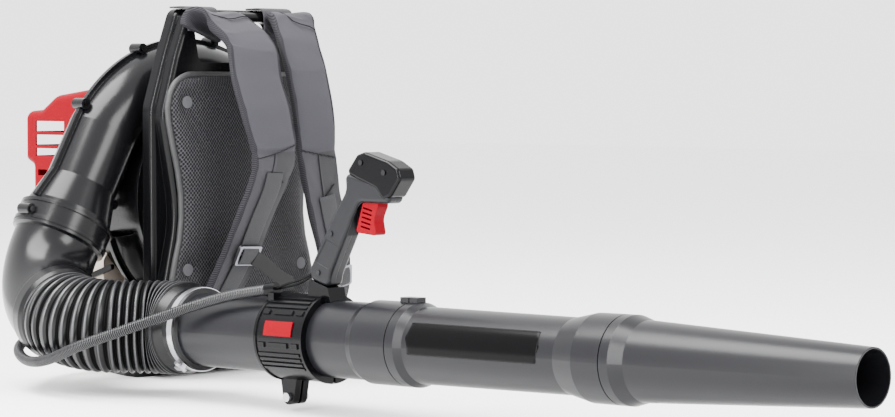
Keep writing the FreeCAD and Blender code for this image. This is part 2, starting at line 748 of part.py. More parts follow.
def make_intake_side():
    """Carburettor, air filter, its cover, the choke lever and the primer bulb, on the left side."""
    gap = D["running_gap"]
    body = box("carb_block", (-96, -98, 326), (26, 36, 36))
    neck = cylinder("carb_neck", 12, 12, at(-108, ENGINE_Y, 343, RIGHTWARD))
    bore = cylinder("carb_bore", 8, 60, at(-120, ENGINE_Y, 343, RIGHTWARD))
    node(cut("carb_cut", fuse("carb_body", body, neck), bore), "carburetor")
    plate = box("filter_plate", (-111, -115, 303), (3, 70, 80))
    foam = box("filter_foam", (-131, -108, 312), (20, 56, 62))
    plate_bore = cylinder("filter_bore", 8, 30, at(-125, ENGINE_Y, 343, RIGHTWARD))
    node(cut("filter_cut", fuse("filter_body", plate, foam), plate_bore), "air_filter")
    outline = [(-115, 303, 9), (-45, 303, 9), (-45, 383, 9), (-115, 383, 9)]
    hood = extrude("hood_block", outline, 36, at(-147, 0, 0, SIDEWAYS))
    hood = fillet("hood_soft", hood, 6, lambda edge: edge.BoundBox.XMax < -146.99)
    room = extrude("hood_room", grown(outline, -3), 34, at(-144, 0, 0, SIDEWAYS))
    lever_hole = cylinder("lever_hole", 3 + float(gap), 12, at(-130, -53, 330, FORWARD))
    bulb_hole = cylinder("bulb_hole", 9 + float(gap), 12, at(-128, ENGINE_Y, 298))
    node(cut("hood_cut", hood, room, lever_hole, bulb_hole), "air_filter_cover")
    lever_pin = cylinder("lever_pin", 3, 7, at(-130, -49, 330, FORWARD))
    lever = extrude("lever_blade", [(-137, 323, 6), (-123, 323, 6), (-125, 372, 4), (-135, 372, 4)], 4,
                    at(0, -40.5, 0, FACING))
    node(fuse("lever_all", lever_pin, lever), "choke_lever")
    node(lathe("bulb", [
        (0, 0), (5, 1), (8, 4), (9, 8), (9, 17), (7, 17), (7, 8), (5, 4.5), (0, 3),
    ], at(-128, ENGINE_Y, 289)), "primer_bulb")


COVER = [
    (-60, 262, 3), (-60, 430, 3), (-170, 417, 34), (-206, 395, 18),
    (-245, 392, 14), (-245, 317, 6), (-226, 308, 6), (-226, 262, 8),
]
COVER_ROOM = [
    (-50, 240, 3), (-50, 428.4, 3), (-169, 414.4, 32), (-205, 392.4, 18),
    (-242.4, 389.5, 11), (-242.4, 318.7, 4), (-223.4, 309.7, 4), (-223.4, 240, 3),
]


def make_cover():
    half, wall = D["cover_half_width"], D["cover_wall"]
    edge_x = float(half)
    shell = extrude("cover_block", COVER, half * 2, at(-edge_x, 0, 0, SIDEWAYS))
    shell = fillet("cover_soft", shell, 12, lambda edge: side_edge(edge, edge_x))
    room = extrude("cover_room", COVER_ROOM, (half - wall) * 2, at(-edge_x + float(wall), 0, 0, SIDEWAYS))
    inner_x = edge_x - float(wall)
    room = fillet("cover_room_soft", room, 10, lambda edge: side_edge(edge, inner_x))
    slots = []
    for k, (low, high) in enumerate([(361, 377), (340, 356), (323, 335)]):
        for side in (-1, 1):
            reach = 40
            corner = (edge_x - reach + 20) if side > 0 else (-edge_x - 20)
            slots.append(box(f"cover_slot{k}_{side + 1}", (corner, -215, low), (reach, 70, high - low)))
        slots.append(box(f"cover_rear_slot{k}", (-92, -260, low), (184, 30, high - low)))
    for k in range(4):
        slots.append(box(f"cover_small_slot{k}", (edge_x - 10, -210 + 32 * k, 293), (20, 22, 9)))
    mouth = box("cover_filter_gap", (-edge_x - 10, -100, 324), (20, 40, 40))
    opened = cut("cover_body", cut("cover_shell", shell, room), mouth, *slots)
    node(opened, "engine_cover")
    posts = []
    for k, (x, z) in enumerate([(-40, 41), (40, 41), (33, -46), (-33, -46)]):
        centre = at(float(D["fan_x"]) + x, -182, float(D["fan_z"]) + z, FORWARD)
        posts.append(cylinder(f"recoil_post{k}", 5, 72, centre))
    return posts


def side_edge(edge, reach):
    """Picks the edges in the two side planes that bound the roof and the rear wall."""
    bounds = edge.BoundBox
    in_side = bounds.XMax - bounds.XMin < 0.01 and abs(abs(bounds.XMax) - reach) < 0.01
    return in_side and bounds.YMin < -61 and bounds.ZMax > 262.1


def make_recoil(posts):
    gap = D["running_gap"]
    dish = lathe("recoil_dish", [
        (0, -185), (66, -185), (74, -178), (74, -150), (71, -150), (71, -177), (65, -182), (0, -182),
    ], on_shaft())
    hub = cylinder("recoil_hub", 6, 24, on_shaft(-182.5))
    vents = []
    for k in range(12):
        turn = Rotation(Vector(0, 0, 1), 30 * k + 15)
        vent = box(f"recoil_vent{k}", (0, 0, 0), (24, 5, 12))
        vent.Placement = on_shaft(-190).multiply(Placement(turn.multVec(Vector(26, -2.5, 0)), turn))
        vents.append(vent)
    drop = float(D["fan_z"]) - 38
    rope_hole = cylinder("rope_hole", 4, 40, at(-100, -171, drop, RIGHTWARD))
    node(cut("recoil_cut", fuse("recoil_body", dish, hub, *posts), rope_hole, *vents), "recoil_housing")
    node(lathe("pulley", [
        (hub_bore(gap), -178), (44, -178), (44, -176), (36, -173), (36, -169), (44, -166), (44, -164),
        (hub_bore(gap), -164),
    ], on_shaft()), "starter_pulley")
    node(cylinder("rope", 2, 98, at(-118, -171, drop, RIGHTWARD)), "starter_rope")
    grip = cylinder("pull_grip", 11, 76, at(-130, -209, drop, FORWARD))
    collar = cylinder("pull_collar", 8, 12, at(-130, -171, drop, RIGHTWARD))
    grip = fillet("pull_soft", grip, 5, lambda edge: edge.Curve.TypeId == "Part::GeomCircle")
    node(fuse("pull_all", grip, collar), "starter_handle")


def hub_bore(gap):
    return 6 + float(gap)


make_engine()
make_muffler()
make_intake_side()
make_recoil(make_cover())


# ---------------------------------------------------------------- air tubes

ELBOW_END = Vector(0.2498, 0.9454, -0.2096).normalize()
ELBOW_CORNER = COLLAR + OUTLET * 116.6
HOSE_START = ELBOW_CORNER + ELBOW_END * 98.6
TUBE_DIRECTION = Vector(0, 0.99988, 0.0153).normalize()
HOSE_END = Vector(240, 340, 96)
TUBE = Placement(HOSE_END, aim(TUBE_DIRECTION))  # local z runs along the tubes, local -y is up
HOSE_TAPER = 38.5


def bent_bar(name, radius, points, radii):
    wire, _ = arc_route(points, radii)
    return sweep(name, radius, wire, points[0], (points[1] - points[0]).normalize())


def make_elbow():
    wall, bend, radius = D["elbow_wall"], float(D["elbow_bend"]), D["duct_radius"]
    gap = float(D["running_gap"])
    straight = Placement(COLLAR, aim(OUTLET))
    rings = [
        (DUCT, -8), (DUCT + 7, -8), (DUCT + 7, -3), (DUCT + 5, -3),
        (DUCT + 5, 18), (DUCT + 7, 18), (DUCT + 7, 24), (DUCT, 24),
    ]
    seam = float(D["seam_y"])
    boss = seam_disc("collar_boss", COLLAR_SCREW, 8, seam - 12, seam + 12)
    hole = seam_disc("collar_boss_hole", COLLAR_SCREW, D["screw_radius"], seam - 20, seam + 20)
    bore = cylinder("collar_bore", DUCT, 60, straight.multiply(at(0, 0, -20)))
    node(cut("collar_body", fuse("collar_solid", lathe("collar_ring", rings, straight), boss), hole, bore),
         "outlet_collar")
    neck = lathe("elbow_neck", [
        (DUCT - 2.5, 0.3), (DUCT - gap, 0.3), (DUCT - gap, 24.3), (DUCT + 6, 24.3),
        (DUCT + 6, 29), (DUCT, 32), (DUCT - 2.5, 32),
    ], straight)
    tube = bent_bar("elbow_tube", radius, [COLLAR + OUTLET * 29, ELBOW_CORNER, HOSE_START], [bend])
    line = [COLLAR - OUTLET * 4, ELBOW_CORNER, HOSE_START + ELBOW_END * 4]
    inside = bent_bar("elbow_inside", radius - wall, line, [bend])
    node(cut("elbow_body", fuse("elbow_outer", neck, tube), inside), "elbow")


def make_hose():
    radius, wall = float(D["hose_radius"]), D["hose_wall"]
    bend, gap = float(D["hose_bend"]), float(D["running_gap"])
    tube_radius = float(D["tube_radius"])
    corner_one = HOSE_START + ELBOW_END * 62
    corner_two = HOSE_END - TUBE_DIRECTION * 70
    tight = 80
    end = HOSE_END - TUBE_DIRECTION * HOSE_TAPER
    start = HOSE_START - ELBOW_END * 5
    outer = bent_bar("hose_outer", D["hose_radius"], [start, corner_one, corner_two, end], [bend, tight])
    inner_end = end + TUBE_DIRECTION * 0.4
    inner = bent_bar("hose_inner", D["hose_radius"] - wall,
                     [start, corner_one, corner_two, inner_end], [bend, tight])
    at_elbow = Placement(HOSE_START, aim(ELBOW_END))
    cuff = cylinder("hose_cuff", radius + 3.5, 22.5, at_elbow.multiply(at(0, 0, -14.5)))
    cuff_room = cylinder("hose_cuff_room", radius + gap, 16.3, at_elbow.multiply(at(0, 0, -16)))
    sleeve = tube_radius + gap
    lip = radius + 1
    tip = lathe("hose_tip", [(0, -41), (lip, -41), (lip, -37), (57, -24), (57, 0), (0, 0)], TUBE)
    tip_room = cylinder("hose_tip_room", sleeve, 40, TUBE.multiply(at(0, 0, -35.2)))
    throat = cylinder("hose_throat", 47, 12, TUBE.multiply(at(0, 0, -42)))
    solid = fuse("hose_solid", outer, cuff, tip)
    node(cut("hose_body", solid, inner, cuff_room, tip_room, throat), "flex_hose")
    band = ring("band_strip", 58.3, 57.05, 10, TUBE.multiply(at(0, 0, -14)))
    housing = box("band_housing", (0, 0, 0), (9, 7, 14))
    worm = cylinder("band_worm", 3.2, 20, at(0, 0, 0))
    low_side = Rotation(Vector(0, 0, 1), 52)
    housing.Placement = TUBE.multiply(Placement(low_side.multVec(Vector(57.6, -3.5, -16)), low_side))
    worm.Placement = TUBE.multiply(Placement(low_side.multVec(Vector(62, 10, -9)), low_side)).multiply(
        at(0, 0, 0, Rotation(Vector(1, 0, 0), 90)))
    collar_cut = ring("band_clear", 57.05, 40, 40, TUBE.multiply(at(0, 0, -30)))
    node(cut("band_body", fuse("band_all", band, housing, worm), collar_cut), "hose_clamp")


def make_tubes():
    tube, wall, bell = float(D["tube_radius"]), float(D["tube_wall"]), float(D["bell_radius"])
    one, two, end = float(D["joint_one"]), float(D["joint_two"]), float(D["tube_end"])
    mouth = float(D["mouth_radius"])
    socket = bell - 2.65
    neck = socket - float(D["running_gap"])
    upper = lathe("upper_tube_body", [
        (tube - wall, -35), (tube, -35), (tube, one - 75), (bell, one - 63), (bell, one - 1),
        (socket, one - 1), (socket, one - 53), (tube - wall, one - 59),
    ], TUBE)
    upper_tab = box("upper_tab", (0, 0, 0), (16, 8, 15))
    upper_tab.Placement = TUBE.multiply(at(-8, -bell - 6, one - 16))
    node(fuse("upper_tube_tabbed", upper, upper_tab), "upper_tube")
    middle = lathe("middle_tube_body", [
        (neck - wall, one - 51), (neck, one - 51), (neck, one + 0.5), (bell, one + 0.5), (bell, one + 15),
        (49.4, one + 26), (47.3, two - 77), (bell, two - 42), (bell, two), (socket, two),
        (socket, two - 38), (45.1, two - 72), (47.2, one + 29), (neck - wall, one + 16),
    ], TUBE)
    middle_tab = box("middle_tab", (0, 0, 0), (16, 9, 14))
    middle_tab.Placement = TUBE.multiply(at(-8, -bell - 6, one + 0.5))
    node(fuse("middle_tube_tabbed", middle, middle_tab), "middle_tube")
    node(lathe("nozzle_body", [
        (neck - wall, two - 35), (neck, two - 35), (neck, two + 1.5), (bell, two + 1.5), (bell, two + 15),
        (49, two + 34), (mouth, end), (mouth - wall, end), (46.8, two + 35), (neck - wall, two + 14),
    ], TUBE), "nozzle")


make_elbow()
make_hose()
make_tubes()


# ---------------------------------------------------------------- control handle

GRIP_X = 240
GRIP = [
    (567, 177, 7.5), (564, 191, 14), (588, 230, 60), (613, 268, 40), (633, 296, 20), (631, 320, 7.5),
    (714, 302, 7.5), (714, 281, 7.5), (657, 281, 12), (645, 262, 14), (637, 246, 9), (617, 210, 60),
    (603, 184, 30), (600, 168, 7.5),
]
HEAD = [
    (635, 319, 6), (655, 343, 9), (669, 347, 9), (712, 336, 30), (731, 326, 7), (735, 313, 7), (717, 290, 8),
    (703, 285, 6), (690, 300, 9), (656, 311, 20),
]
TRIGGER = [(664, 290, 5), (690, 290, 5), (689, 276, 5), (681, 260, 16), (686, 239, 4), (648, 242, 4)]
TRIGGER_PIVOT = (680, 287)
CLAMP_BOLT_Y, CLAMP_BOLT_Z = 522, 18


CONDUIT = [
    (128, -58, 61), (190, -58, 61), (250, -27, 60), (310, 15, 62), (352, 62, 52), (374, 118, 44),
    (383, 175, 52), (385, 240, 76), (352, 302, 100), (320, 340, 118), (298, 382, 134),
    (285, 420, 146), (275, 459, 155), (267, 497, 160.5),
]
CONDUIT = [Vector(*point) for point in CONDUIT]
CONDUIT_CLIPS = (5, 9)  # the conduit is clipped midway along the runs that start at these points


def across_grip(name, radius, start_x, length, spot):
    return cylinder(name, radius, length, at(start_x, spot[0], spot[1], RIGHTWARD))


def make_clamp():
    start, length, outer = float(D["clamp_start"]), D["clamp_length"], float(D["clamp_radius"])
    bore = float(D["tube_radius"]) + float(D["running_gap"])
    place = TUBE.multiply(at(0, 0, start))
    band = ring("clamp_band", outer, bore, length, place)
    hollow = cylinder("clamp_hollow", bore, 260, TUBE.multiply(at(0, 0, start - 60)))
    heel, toe = (Vector(*corner[:2], 0) for corner in (GRIP[0], GRIP[-1]))
    sole = toe - heel
    seat = [heel - sole * 0.03, toe + sole * 0.03]
    saddle = extrude("clamp_saddle", [
        (seat[0].x - 6, 138, 2), (seat[0].x, seat[0].y, 0.5),
        (seat[1].x, seat[1].y, 0.5), (seat[1].x + 8, 138, 2),
    ], 30, at(GRIP_X - 15, 0, 0, SIDEWAYS))
    gland_place = Placement(CONDUIT[-1], aim((CONDUIT[-1] - CONDUIT[-2]).normalize()))
    gland = cylinder("clamp_gland", D["conduit_radius"] + 1.5, 16, gland_place)
    gland_foot = box("clamp_gland_foot", (CONDUIT[-1].x - 7, 506, 144), (14, 11, 14))
    ears = []
    for side, x in enumerate((GRIP_X - 12, GRIP_X + 2)):
        ear = extrude(f"clamp_ear{side}", [(505, 52, 2), (540, 56, 2), (531, 8, 9), (513, 8, 9)], 10,
                      at(x, 0, 0, SIDEWAYS))
        ears.append(ear)
    slit = box("clamp_slit", (GRIP_X - 2, 495, 0), (4, 120, 80))
    spot = (CLAMP_BOLT_Y, CLAMP_BOLT_Z)
    bolt_hole = across_grip("clamp_bolt_hole", D["bolt_radius"], GRIP_X - 30, 60, spot)
    ribs = []
    for k, angle in enumerate((-63, -54.5, -46, 19, 26, 33, 40)):
        turn = Rotation(Vector(0, 0, 1), angle)
        rib = box(f"clamp_rib{k}", (0, 0, 0), (3, 4, 78))
        rib.Placement = place.multiply(Placement(turn.multVec(Vector(outer - 1, -2, 7)), turn))
        ribs.append(rib)
    for angle in (-37, 7):
        turn = Rotation(Vector(0, 0, 1), angle)
        for k, (start_z, long) in enumerate([(8, 12), (28, 36), (72, 12)]):
            boss = box(f"clamp_boss{angle}_{k}".replace("-", "m"), (0, 0, 0), (3, 7, long))
            boss.Placement = place.multiply(Placement(turn.multVec(Vector(outer - 1, -3.5, start_z)), turn))
            ribs.append(boss)
    lips = [
        ring(f"clamp_lip{k}", outer + 1.6, bore, 4, place.multiply(at(0, 0, z)))
        for k, z in enumerate((0, 88))
    ]
    solid = fuse("clamp_solid", band, saddle, gland, gland_foot, *ears, *ribs, *lips)
    made = cut("clamp_body", solid, hollow, slit, bolt_hole)
    node(made, "clamp_ring")
    shell = ring("plate_shell", outer + 1.8, outer, 53, TUBE.multiply(at(0, 0, start + 19)))
    patch = box("plate_patch", (0, 0, 0), (30, 20, 60))
    turn = Rotation(Vector(0, 0, 1), -14.5)
    patch.Placement = TUBE.multiply(Placement(turn.multVec(Vector(40, -10, start + 16)), turn))
    node(common("plate_body", shell, patch), "label_plate")
    shank = across_grip("clamp_shank", D["bolt_radius"], GRIP_X - 20, 32, spot)
    head = across_grip("clamp_head", 6, GRIP_X + 12, 5, spot)
    nut = cut("clamp_nut_cut", across_grip("clamp_nut", 6.5, GRIP_X - 18, 6, spot),
              across_grip("clamp_nut_bore", D["bolt_radius"], GRIP_X - 19, 8, spot))
    node(gather("clamp_fixing", fuse("clamp_bolt_all", shank, head), nut), "clamp_bolt")


def make_handle():
    width = D["grip_width"]
    half = width / 2
    shell = extrude("grip_block", GRIP, width, at(GRIP_X - float(half), 0, 0, SIDEWAYS))
    sides = (GRIP_X - float(half), GRIP_X + float(half))
    shell = fillet("grip_soft", shell, 6, lambda edge: edge_at_x(edge, sides))
    head_width = 31
    head_sides = (GRIP_X - head_width / 2, GRIP_X + head_width / 2)
    head = extrude("head_block", HEAD, head_width, at(head_sides[0], 0, 0, SIDEWAYS))
    head = fillet("head_soft", head, 4.5, lambda edge: edge_at_x(edge, head_sides))
    slot = box("trigger_room", (GRIP_X - 9.5, 632, 236.5), (19, 66, 60.5))
    panel = extrude("grip_panel", [
        (577, 201, 3), (598, 232, 3), (623, 222, 3), (603, 192, 3),
    ], 2, at(sides[1] - 0.8, 0, 0, SIDEWAYS))
    pin_hole = across_grip("trigger_pin_hole", 2.5, GRIP_X - 13, 26, TRIGGER_PIVOT)
    screw_spots = [(607, 239), (583, 187), (664, 333), (706, 321)]
    screw_holes = [across_grip(f"screw_hole{k}", 2, GRIP_X, 30, spot) for k, spot in enumerate(screw_spots)]
    body = cut("grip_body", shell, head, slot, panel, pin_hole, *screw_holes)
    right_space = box("right_space", (GRIP_X, 400, 0), (100, 500, 500))
    node(common("grip_right_half", body, right_space), "grip_right")
    node(cut("grip_left_half", body, right_space), "grip_left")
    lever_hole = across_grip("cruise_hole", 3 + float(D["running_gap"]), head_sides[0] - 1, 11, (690, 312))
    stop_slot = extrude("stop_slot", on_slope(5.2, -5, 3), 12, at(GRIP_X - 6, 0, 0, SIDEWAYS))
    node(cut("head_body", head, lever_hole, stop_slot, *screw_holes), "switch_head")
    screws = []
    for k, spot in enumerate(screw_spots):
        outer_x = sides[1] if k < 2 else head_sides[1]
        shank = across_grip(f"grip_shank{k}", 2, outer_x - 14, 14, spot)
        cap = across_grip(f"grip_cap{k}", 3.6, outer_x, 1.5, spot)
        screws.append(fuse(f"grip_screw{k}", shank, cap))
    pin = across_grip("trigger_pin", 2.5, GRIP_X - 13, 26, TRIGGER_PIVOT)
    node(gather("grip_screw_set", pin, *screws), "handle_screws")
    blade = extrude("trigger_blade", TRIGGER, 18, at(GRIP_X - 9, 0, 0, SIDEWAYS))
    boss = across_grip("trigger_boss", 7, GRIP_X - 9, 18, TRIGGER_PIVOT)
    bore = across_grip("trigger_bore", 2.5 + float(D["running_gap"]), GRIP_X - 12, 24, TRIGGER_PIVOT)
    slots = []
    for k in range(5):
        slot = box(f"trigger_slot{k}", (0, 0, 0), (24, 17, 2))
        slot.Placement = at(GRIP_X - 12, 657 + k, 249.5 + 6 * k, Rotation(Vector(1, 0, 0), -12))
        slots.append(slot)
    node(cut("trigger_body", fuse("trigger_solid", blade, boss), bore, *slots), "throttle_trigger")
    lever = extrude("cruise_blade", [(682, 304, 7), (699, 304, 8), (702, 332, 5), (688, 334, 5)], 4,
                    at(head_sides[0] - 4.1, 0, 0, SIDEWAYS))
    lever_pin = across_grip("cruise_pin", 3, head_sides[0] - 1, 10, (690, 312))
    node(fuse("cruise_body", lever, lever_pin), "cruise_lever")
    node(extrude("stop_button", on_slope(5, -4, 1.5), 10, at(GRIP_X - 5, 0, 0, SIDEWAYS)), "stop_switch")


def on_slope(half, low, high):
    """A block's outline in Y and Z on the head's sloping rear face, from low to high above it."""
    lower, upper = (Vector(*corner[:2], 0) for corner in HEAD[:2])
    along = (upper - lower).normalize()
    out = Vector(-along.y, along.x, 0)
    middle = (lower + upper) * 0.5
    spots = [middle + along * (half * u) + out * v for u, v in ((-1, low), (1, low), (1, high), (-1, high))]
    return [(spot.x, spot.y, 0.5) for spot in spots]


def edge_at_x(edge, places):
    """Picks the edges that lie wholly in one of the planes at those x."""
    bounds = edge.BoundBox
    return any(abs(bounds.XMin - x) < 0.01 and abs(bounds.XMax - x) < 0.01 for x in places)


make_clamp()
make_handle()


# ---------------------------------------------------------------- control conduit

def make_conduit():
    """Three lengths of one conduit, meeting midway along two of its runs."""
    middles = [(CONDUIT[k] + CONDUIT[k + 1]) * 0.5 for k in CONDUIT_CLIPS]
    first, second = CONDUIT_CLIPS
    routes = {
        "conduit_a": CONDUIT[:first + 1] + [middles[0]],
        "conduit_b": [middles[0]] + CONDUIT[first + 1:second + 1] + [middles[1]],
        "conduit_c": [middles[1]] + CONDUIT[second + 1:],
    }
    area = math.pi * float(D["conduit_radius"]) ** 2
    for label, points in routes.items():
        wire, radii = arc_route(points)
        heading = (points[1] - points[0]).normalize()
        made = sweep(f"{label}_bar", D["conduit_radius"], wire, points[0], heading)
        node(made, label)
        DOC.recompute()
        print(label, "length", round(wire.Length, 1), "radii", [round(r) for r in radii],
              "volume ratio", round(made.Shape.Volume / (area * wire.Length), 4))


make_conduit()


# ---------------------------------------------------------------- harness

PAD = mirrored([(128, 95, 22), (140, 150, 45), (112, 236, 180), (147, 404, 40), (118, 448, 20)])
BUTTONS = [(-112, 408), (112, 408), (-112, 163), (112, 163)]
STRAP_RIGHT = [
    (72, 162, 532, 76), (61, 190, 524, 84), (52, 225, 490, 90), (58, 246, 440, 92), (54, 262, 390, 92),
    (49, 271, 335, 80), (52, 262, 290, 70), (59, 240, 240, 68), (62, 209, 180, 70), (76, 178, 118, 62),
]
STRAP_LEFT = [
    (-75, 161, 532, 74), (-66, 184, 526, 76), (-56, 212, 490, 76), (-54, 233, 440, 76), (-56, 243, 390, 76),
    (-60, 245, 330, 72), (-72, 250, 250, 64), (-89, 252, 180, 56), (-102, 238, 122, 50),
    (-107, 205, 84, 46),
    (-105, 162, 68, 42),
]


def section_wire(centre, along, width, thickness):
    """A rectangle across the strap, its width as near to X as the strap's direction allows."""
    wide = Vector(1, 0, 0) - along * along.x
    wide.normalize()
    thick = wide.cross(along)
    corners = [
        centre + wide * (width / 2 * u) + thick * (thickness / 2 * v)
        for u, v in ((-1, -1), (1, -1), (1, 1), (-1, 1), (-1, -1))
    ]
    return Part.makePolygon(corners)


def ribbon(name, stations, thickness, lift=0):
    """A flat strap through stations (x, y, z, width). Lift moves it off that line, along its thickness."""
    centres = [Vector(*s[:3]) for s in stations]
    sections = []
    for k, centre in enumerate(centres):
        ahead = centres[min(k + 1, len(centres) - 1)]
        behind = centres[max(k - 1, 0)]
        along = (ahead - behind).normalize()
        wide = (Vector(1, 0, 0) - along * along.x).normalize()
        out = along.cross(wide)
        made = DOC.addObject("Part::Feature", f"{name}_section{k}")
        made.Shape = section_wire(centre + out * lift, along, stations[k][3], thickness)
        sections.append(made)
    made = DOC.addObject("Part::Loft", name)
    made.Sections = sections
    made.Solid = True
    made.Ruled = True
    return made


def make_pad():
    depth, front = D["pad_depth"], D["frame_front"] + D["pad_gap"]
    block = extrude("pad_block", PAD, depth, front_plane(front + depth))
    dents = [
        cylinder(f"pad_dent{k}", 10, 12, at(x, front + depth - 7, z, FORWARD))
        for k, (x, z) in enumerate(BUTTONS)
    ]
    node(cut("pad_body", block, *dents), "back_pad")
    discs = []
    for k, (x, z) in enumerate(BUTTONS):
        disc = cylinder(f"pad_disc{k}", 9, 3, at(x, front + depth - 6.7, z, FORWARD))
        discs.append(disc)
    node(gather("pad_disc_set", *discs), "pad_buttons")


def make_straps():
    thickness = float(D["strap_thickness"])
    node(ribbon("strap_right_bar", STRAP_RIGHT, thickness), "strap_right")
    node(ribbon("strap_left_bar", STRAP_LEFT, thickness), "strap_left")
    lift = -(thickness / 2 + 1.3)
    webs = []
    for name, stations in (("right", STRAP_RIGHT[5:]), ("left", STRAP_LEFT[5:])):
        narrow = [(x, y, z, 30) for x, y, z, _ in stations]
        webs.append(ribbon(f"web_{name}", narrow, 2, lift))
    node(gather("web_pair", *webs), "strap_webbing")
    flaps = []
    for k, x in enumerate((-75, 74)):
        stations = [(x, 104, 546.4, 58), (x, 132, 546.6, 58), (x, 143.4, 540.5, 58), (x, 144.6, 512, 58)]
        flaps.append(ribbon(f"flap{k}", stations, 2))
    node(gather("flap_pair", *flaps), "strap_patches")


def make_buckles():
    """A ladder lock on each strap, over the webbing."""
    thickness = float(D["strap_thickness"])
    buckles = []
    for k, (stations, share) in enumerate([(STRAP_RIGHT, 0.8), (STRAP_LEFT, 0.5)]):
        upper, lower = (Vector(*stations[-3 - k][:3]), Vector(*stations[-2 - k][:3]))
        along = (lower - upper).normalize()
        wide = (Vector(1, 0, 0) - along * along.x).normalize()
        out = wide.cross(along)
        spot = upper + (lower - upper) * share + out * (thickness / 2 + 2.8)
        frame = Placement(spot, Rotation(wide, along, out, "ZXY"))
        outline = [(-21, -16, 4), (21, -16, 4), (21, 16, 4), (-21, 16, 4)]
        plate = extrude(f"buckle_plate{k}", outline, 5, at(0, 0, 0))
        bars = [box(f"buckle_gap{k}_{n}", (-16, y, -5), (32, 6, 20)) for n, y in enumerate((-11, -1.5, 8))]
        made = cut(f"buckle{k}", plate, *bars)
        made.Placement = frame
        buckles.append(made)
    node(gather("buckle_pair", *buckles), "ladder_locks")


make_pad()
make_straps()
make_buckles()


# ---------------------------------------------------------------- checks and files

def check_document():
    DOC.recompute()
    bad = [o.Label for o in DOC.Objects if "Invalid" in o.State or "Error" in o.State]
    if bad:
        raise RuntimeError(f"failed objects: {bad}")
    for label, made in NODES.items():
        if made.Shape.isNull() or not made.Shape.isValid() or made.Shape.Volume <= 0:
            raise RuntimeError(f"bad shape: {label}")


check_document()
for label, made in NODES.items():
    made.Shape.exportStep(f"parts/{label}.step")
print(f"{len(NODES)} sub-parts written")
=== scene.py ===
import json
import math

import bpy
import numpy as np
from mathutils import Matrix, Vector


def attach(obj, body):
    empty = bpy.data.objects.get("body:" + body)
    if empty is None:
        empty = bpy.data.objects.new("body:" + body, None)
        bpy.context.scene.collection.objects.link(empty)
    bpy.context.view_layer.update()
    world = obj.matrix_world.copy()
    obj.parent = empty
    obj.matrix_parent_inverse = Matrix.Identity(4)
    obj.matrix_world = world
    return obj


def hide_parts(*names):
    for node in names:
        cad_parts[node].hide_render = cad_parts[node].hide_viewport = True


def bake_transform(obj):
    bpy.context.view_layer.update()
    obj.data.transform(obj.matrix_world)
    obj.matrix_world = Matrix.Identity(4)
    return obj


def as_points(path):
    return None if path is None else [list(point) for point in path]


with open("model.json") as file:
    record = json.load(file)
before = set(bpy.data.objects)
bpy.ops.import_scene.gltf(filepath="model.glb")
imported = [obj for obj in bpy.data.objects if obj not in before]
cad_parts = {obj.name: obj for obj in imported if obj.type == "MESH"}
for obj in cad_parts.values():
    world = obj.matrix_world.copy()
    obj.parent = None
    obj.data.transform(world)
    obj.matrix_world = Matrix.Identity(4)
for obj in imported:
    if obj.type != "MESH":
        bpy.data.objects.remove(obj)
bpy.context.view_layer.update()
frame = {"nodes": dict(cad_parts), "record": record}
NODES = frame["nodes"]
MM = 0.001
SWELL_FRAMES = 20


# ---------------------------------------------------------------- materials

def material(name, color, rough, metal=0.0, **extra):
    made = bpy.data.materials.new(name)
    made.use_nodes = True
    shader = made.node_tree.nodes["Principled BSDF"]
    shader.inputs["Base Color"].default_value = (*color, 1)
    shader.inputs["Roughness"].default_value = rough
    shader.inputs["Metallic"].default_value = metal
    for key, value in extra.items():
        shader.inputs[key.replace("_", " ")].default_value = value
    return made


def add_bump(made, texture, strength, distance=0.001, **inputs):
    """Bump from a procedural texture laid in the object's own coordinates."""
    tree = made.node_tree
    shader = tree.nodes["Principled BSDF"]
    place = tree.nodes.new("ShaderNodeTexCoord")
    pattern = tree.nodes.new(texture)
    for key, value in inputs.items():
        pattern.inputs[key].default_value = value
    bump = tree.nodes.new("ShaderNodeBump")
    bump.inputs["Strength"].default_value = strength
    bump.inputs["Distance"].default_value = distance
    tree.links.new(place.outputs["Object"], pattern.inputs["Vector"])
    output = "Distance" if "Distance" in pattern.outputs else pattern.outputs[0].name
    tree.links.new(pattern.outputs[output], bump.inputs["Height"])
    old = shader.inputs["Normal"].links
    if old:
        tree.links.new(old[0].from_socket, bump.inputs["Normal"])
    tree.links.new(bump.outputs["Normal"], shader.inputs["Normal"])
    return made


def soften_edges(made, radius):
    """Rounds sharp edges in the shading, so that they catch the light as moulded edges do."""
    tree = made.node_tree
    shader = tree.nodes["Principled BSDF"]
    bevel = tree.nodes.new("ShaderNodeBevel")
    bevel.samples = 4
    bevel.inputs["Radius"].default_value = radius
    tree.links.new(bevel.outputs["Normal"], shader.inputs["Normal"])
    return made


def fabric(name, color, scale, strength, rough=0.9, sheen=0.03):
    made = material(name, color, rough, Sheen_Weight=sheen, Sheen_Roughness=0.5)
    add_bump(made, "ShaderNodeTexNoise", 0.25, 0.002, Scale=45.0, Detail=3.0)
    add_bump(made, "ShaderNodeTexVoronoi", strength, 0.0006, Scale=scale)
    return made


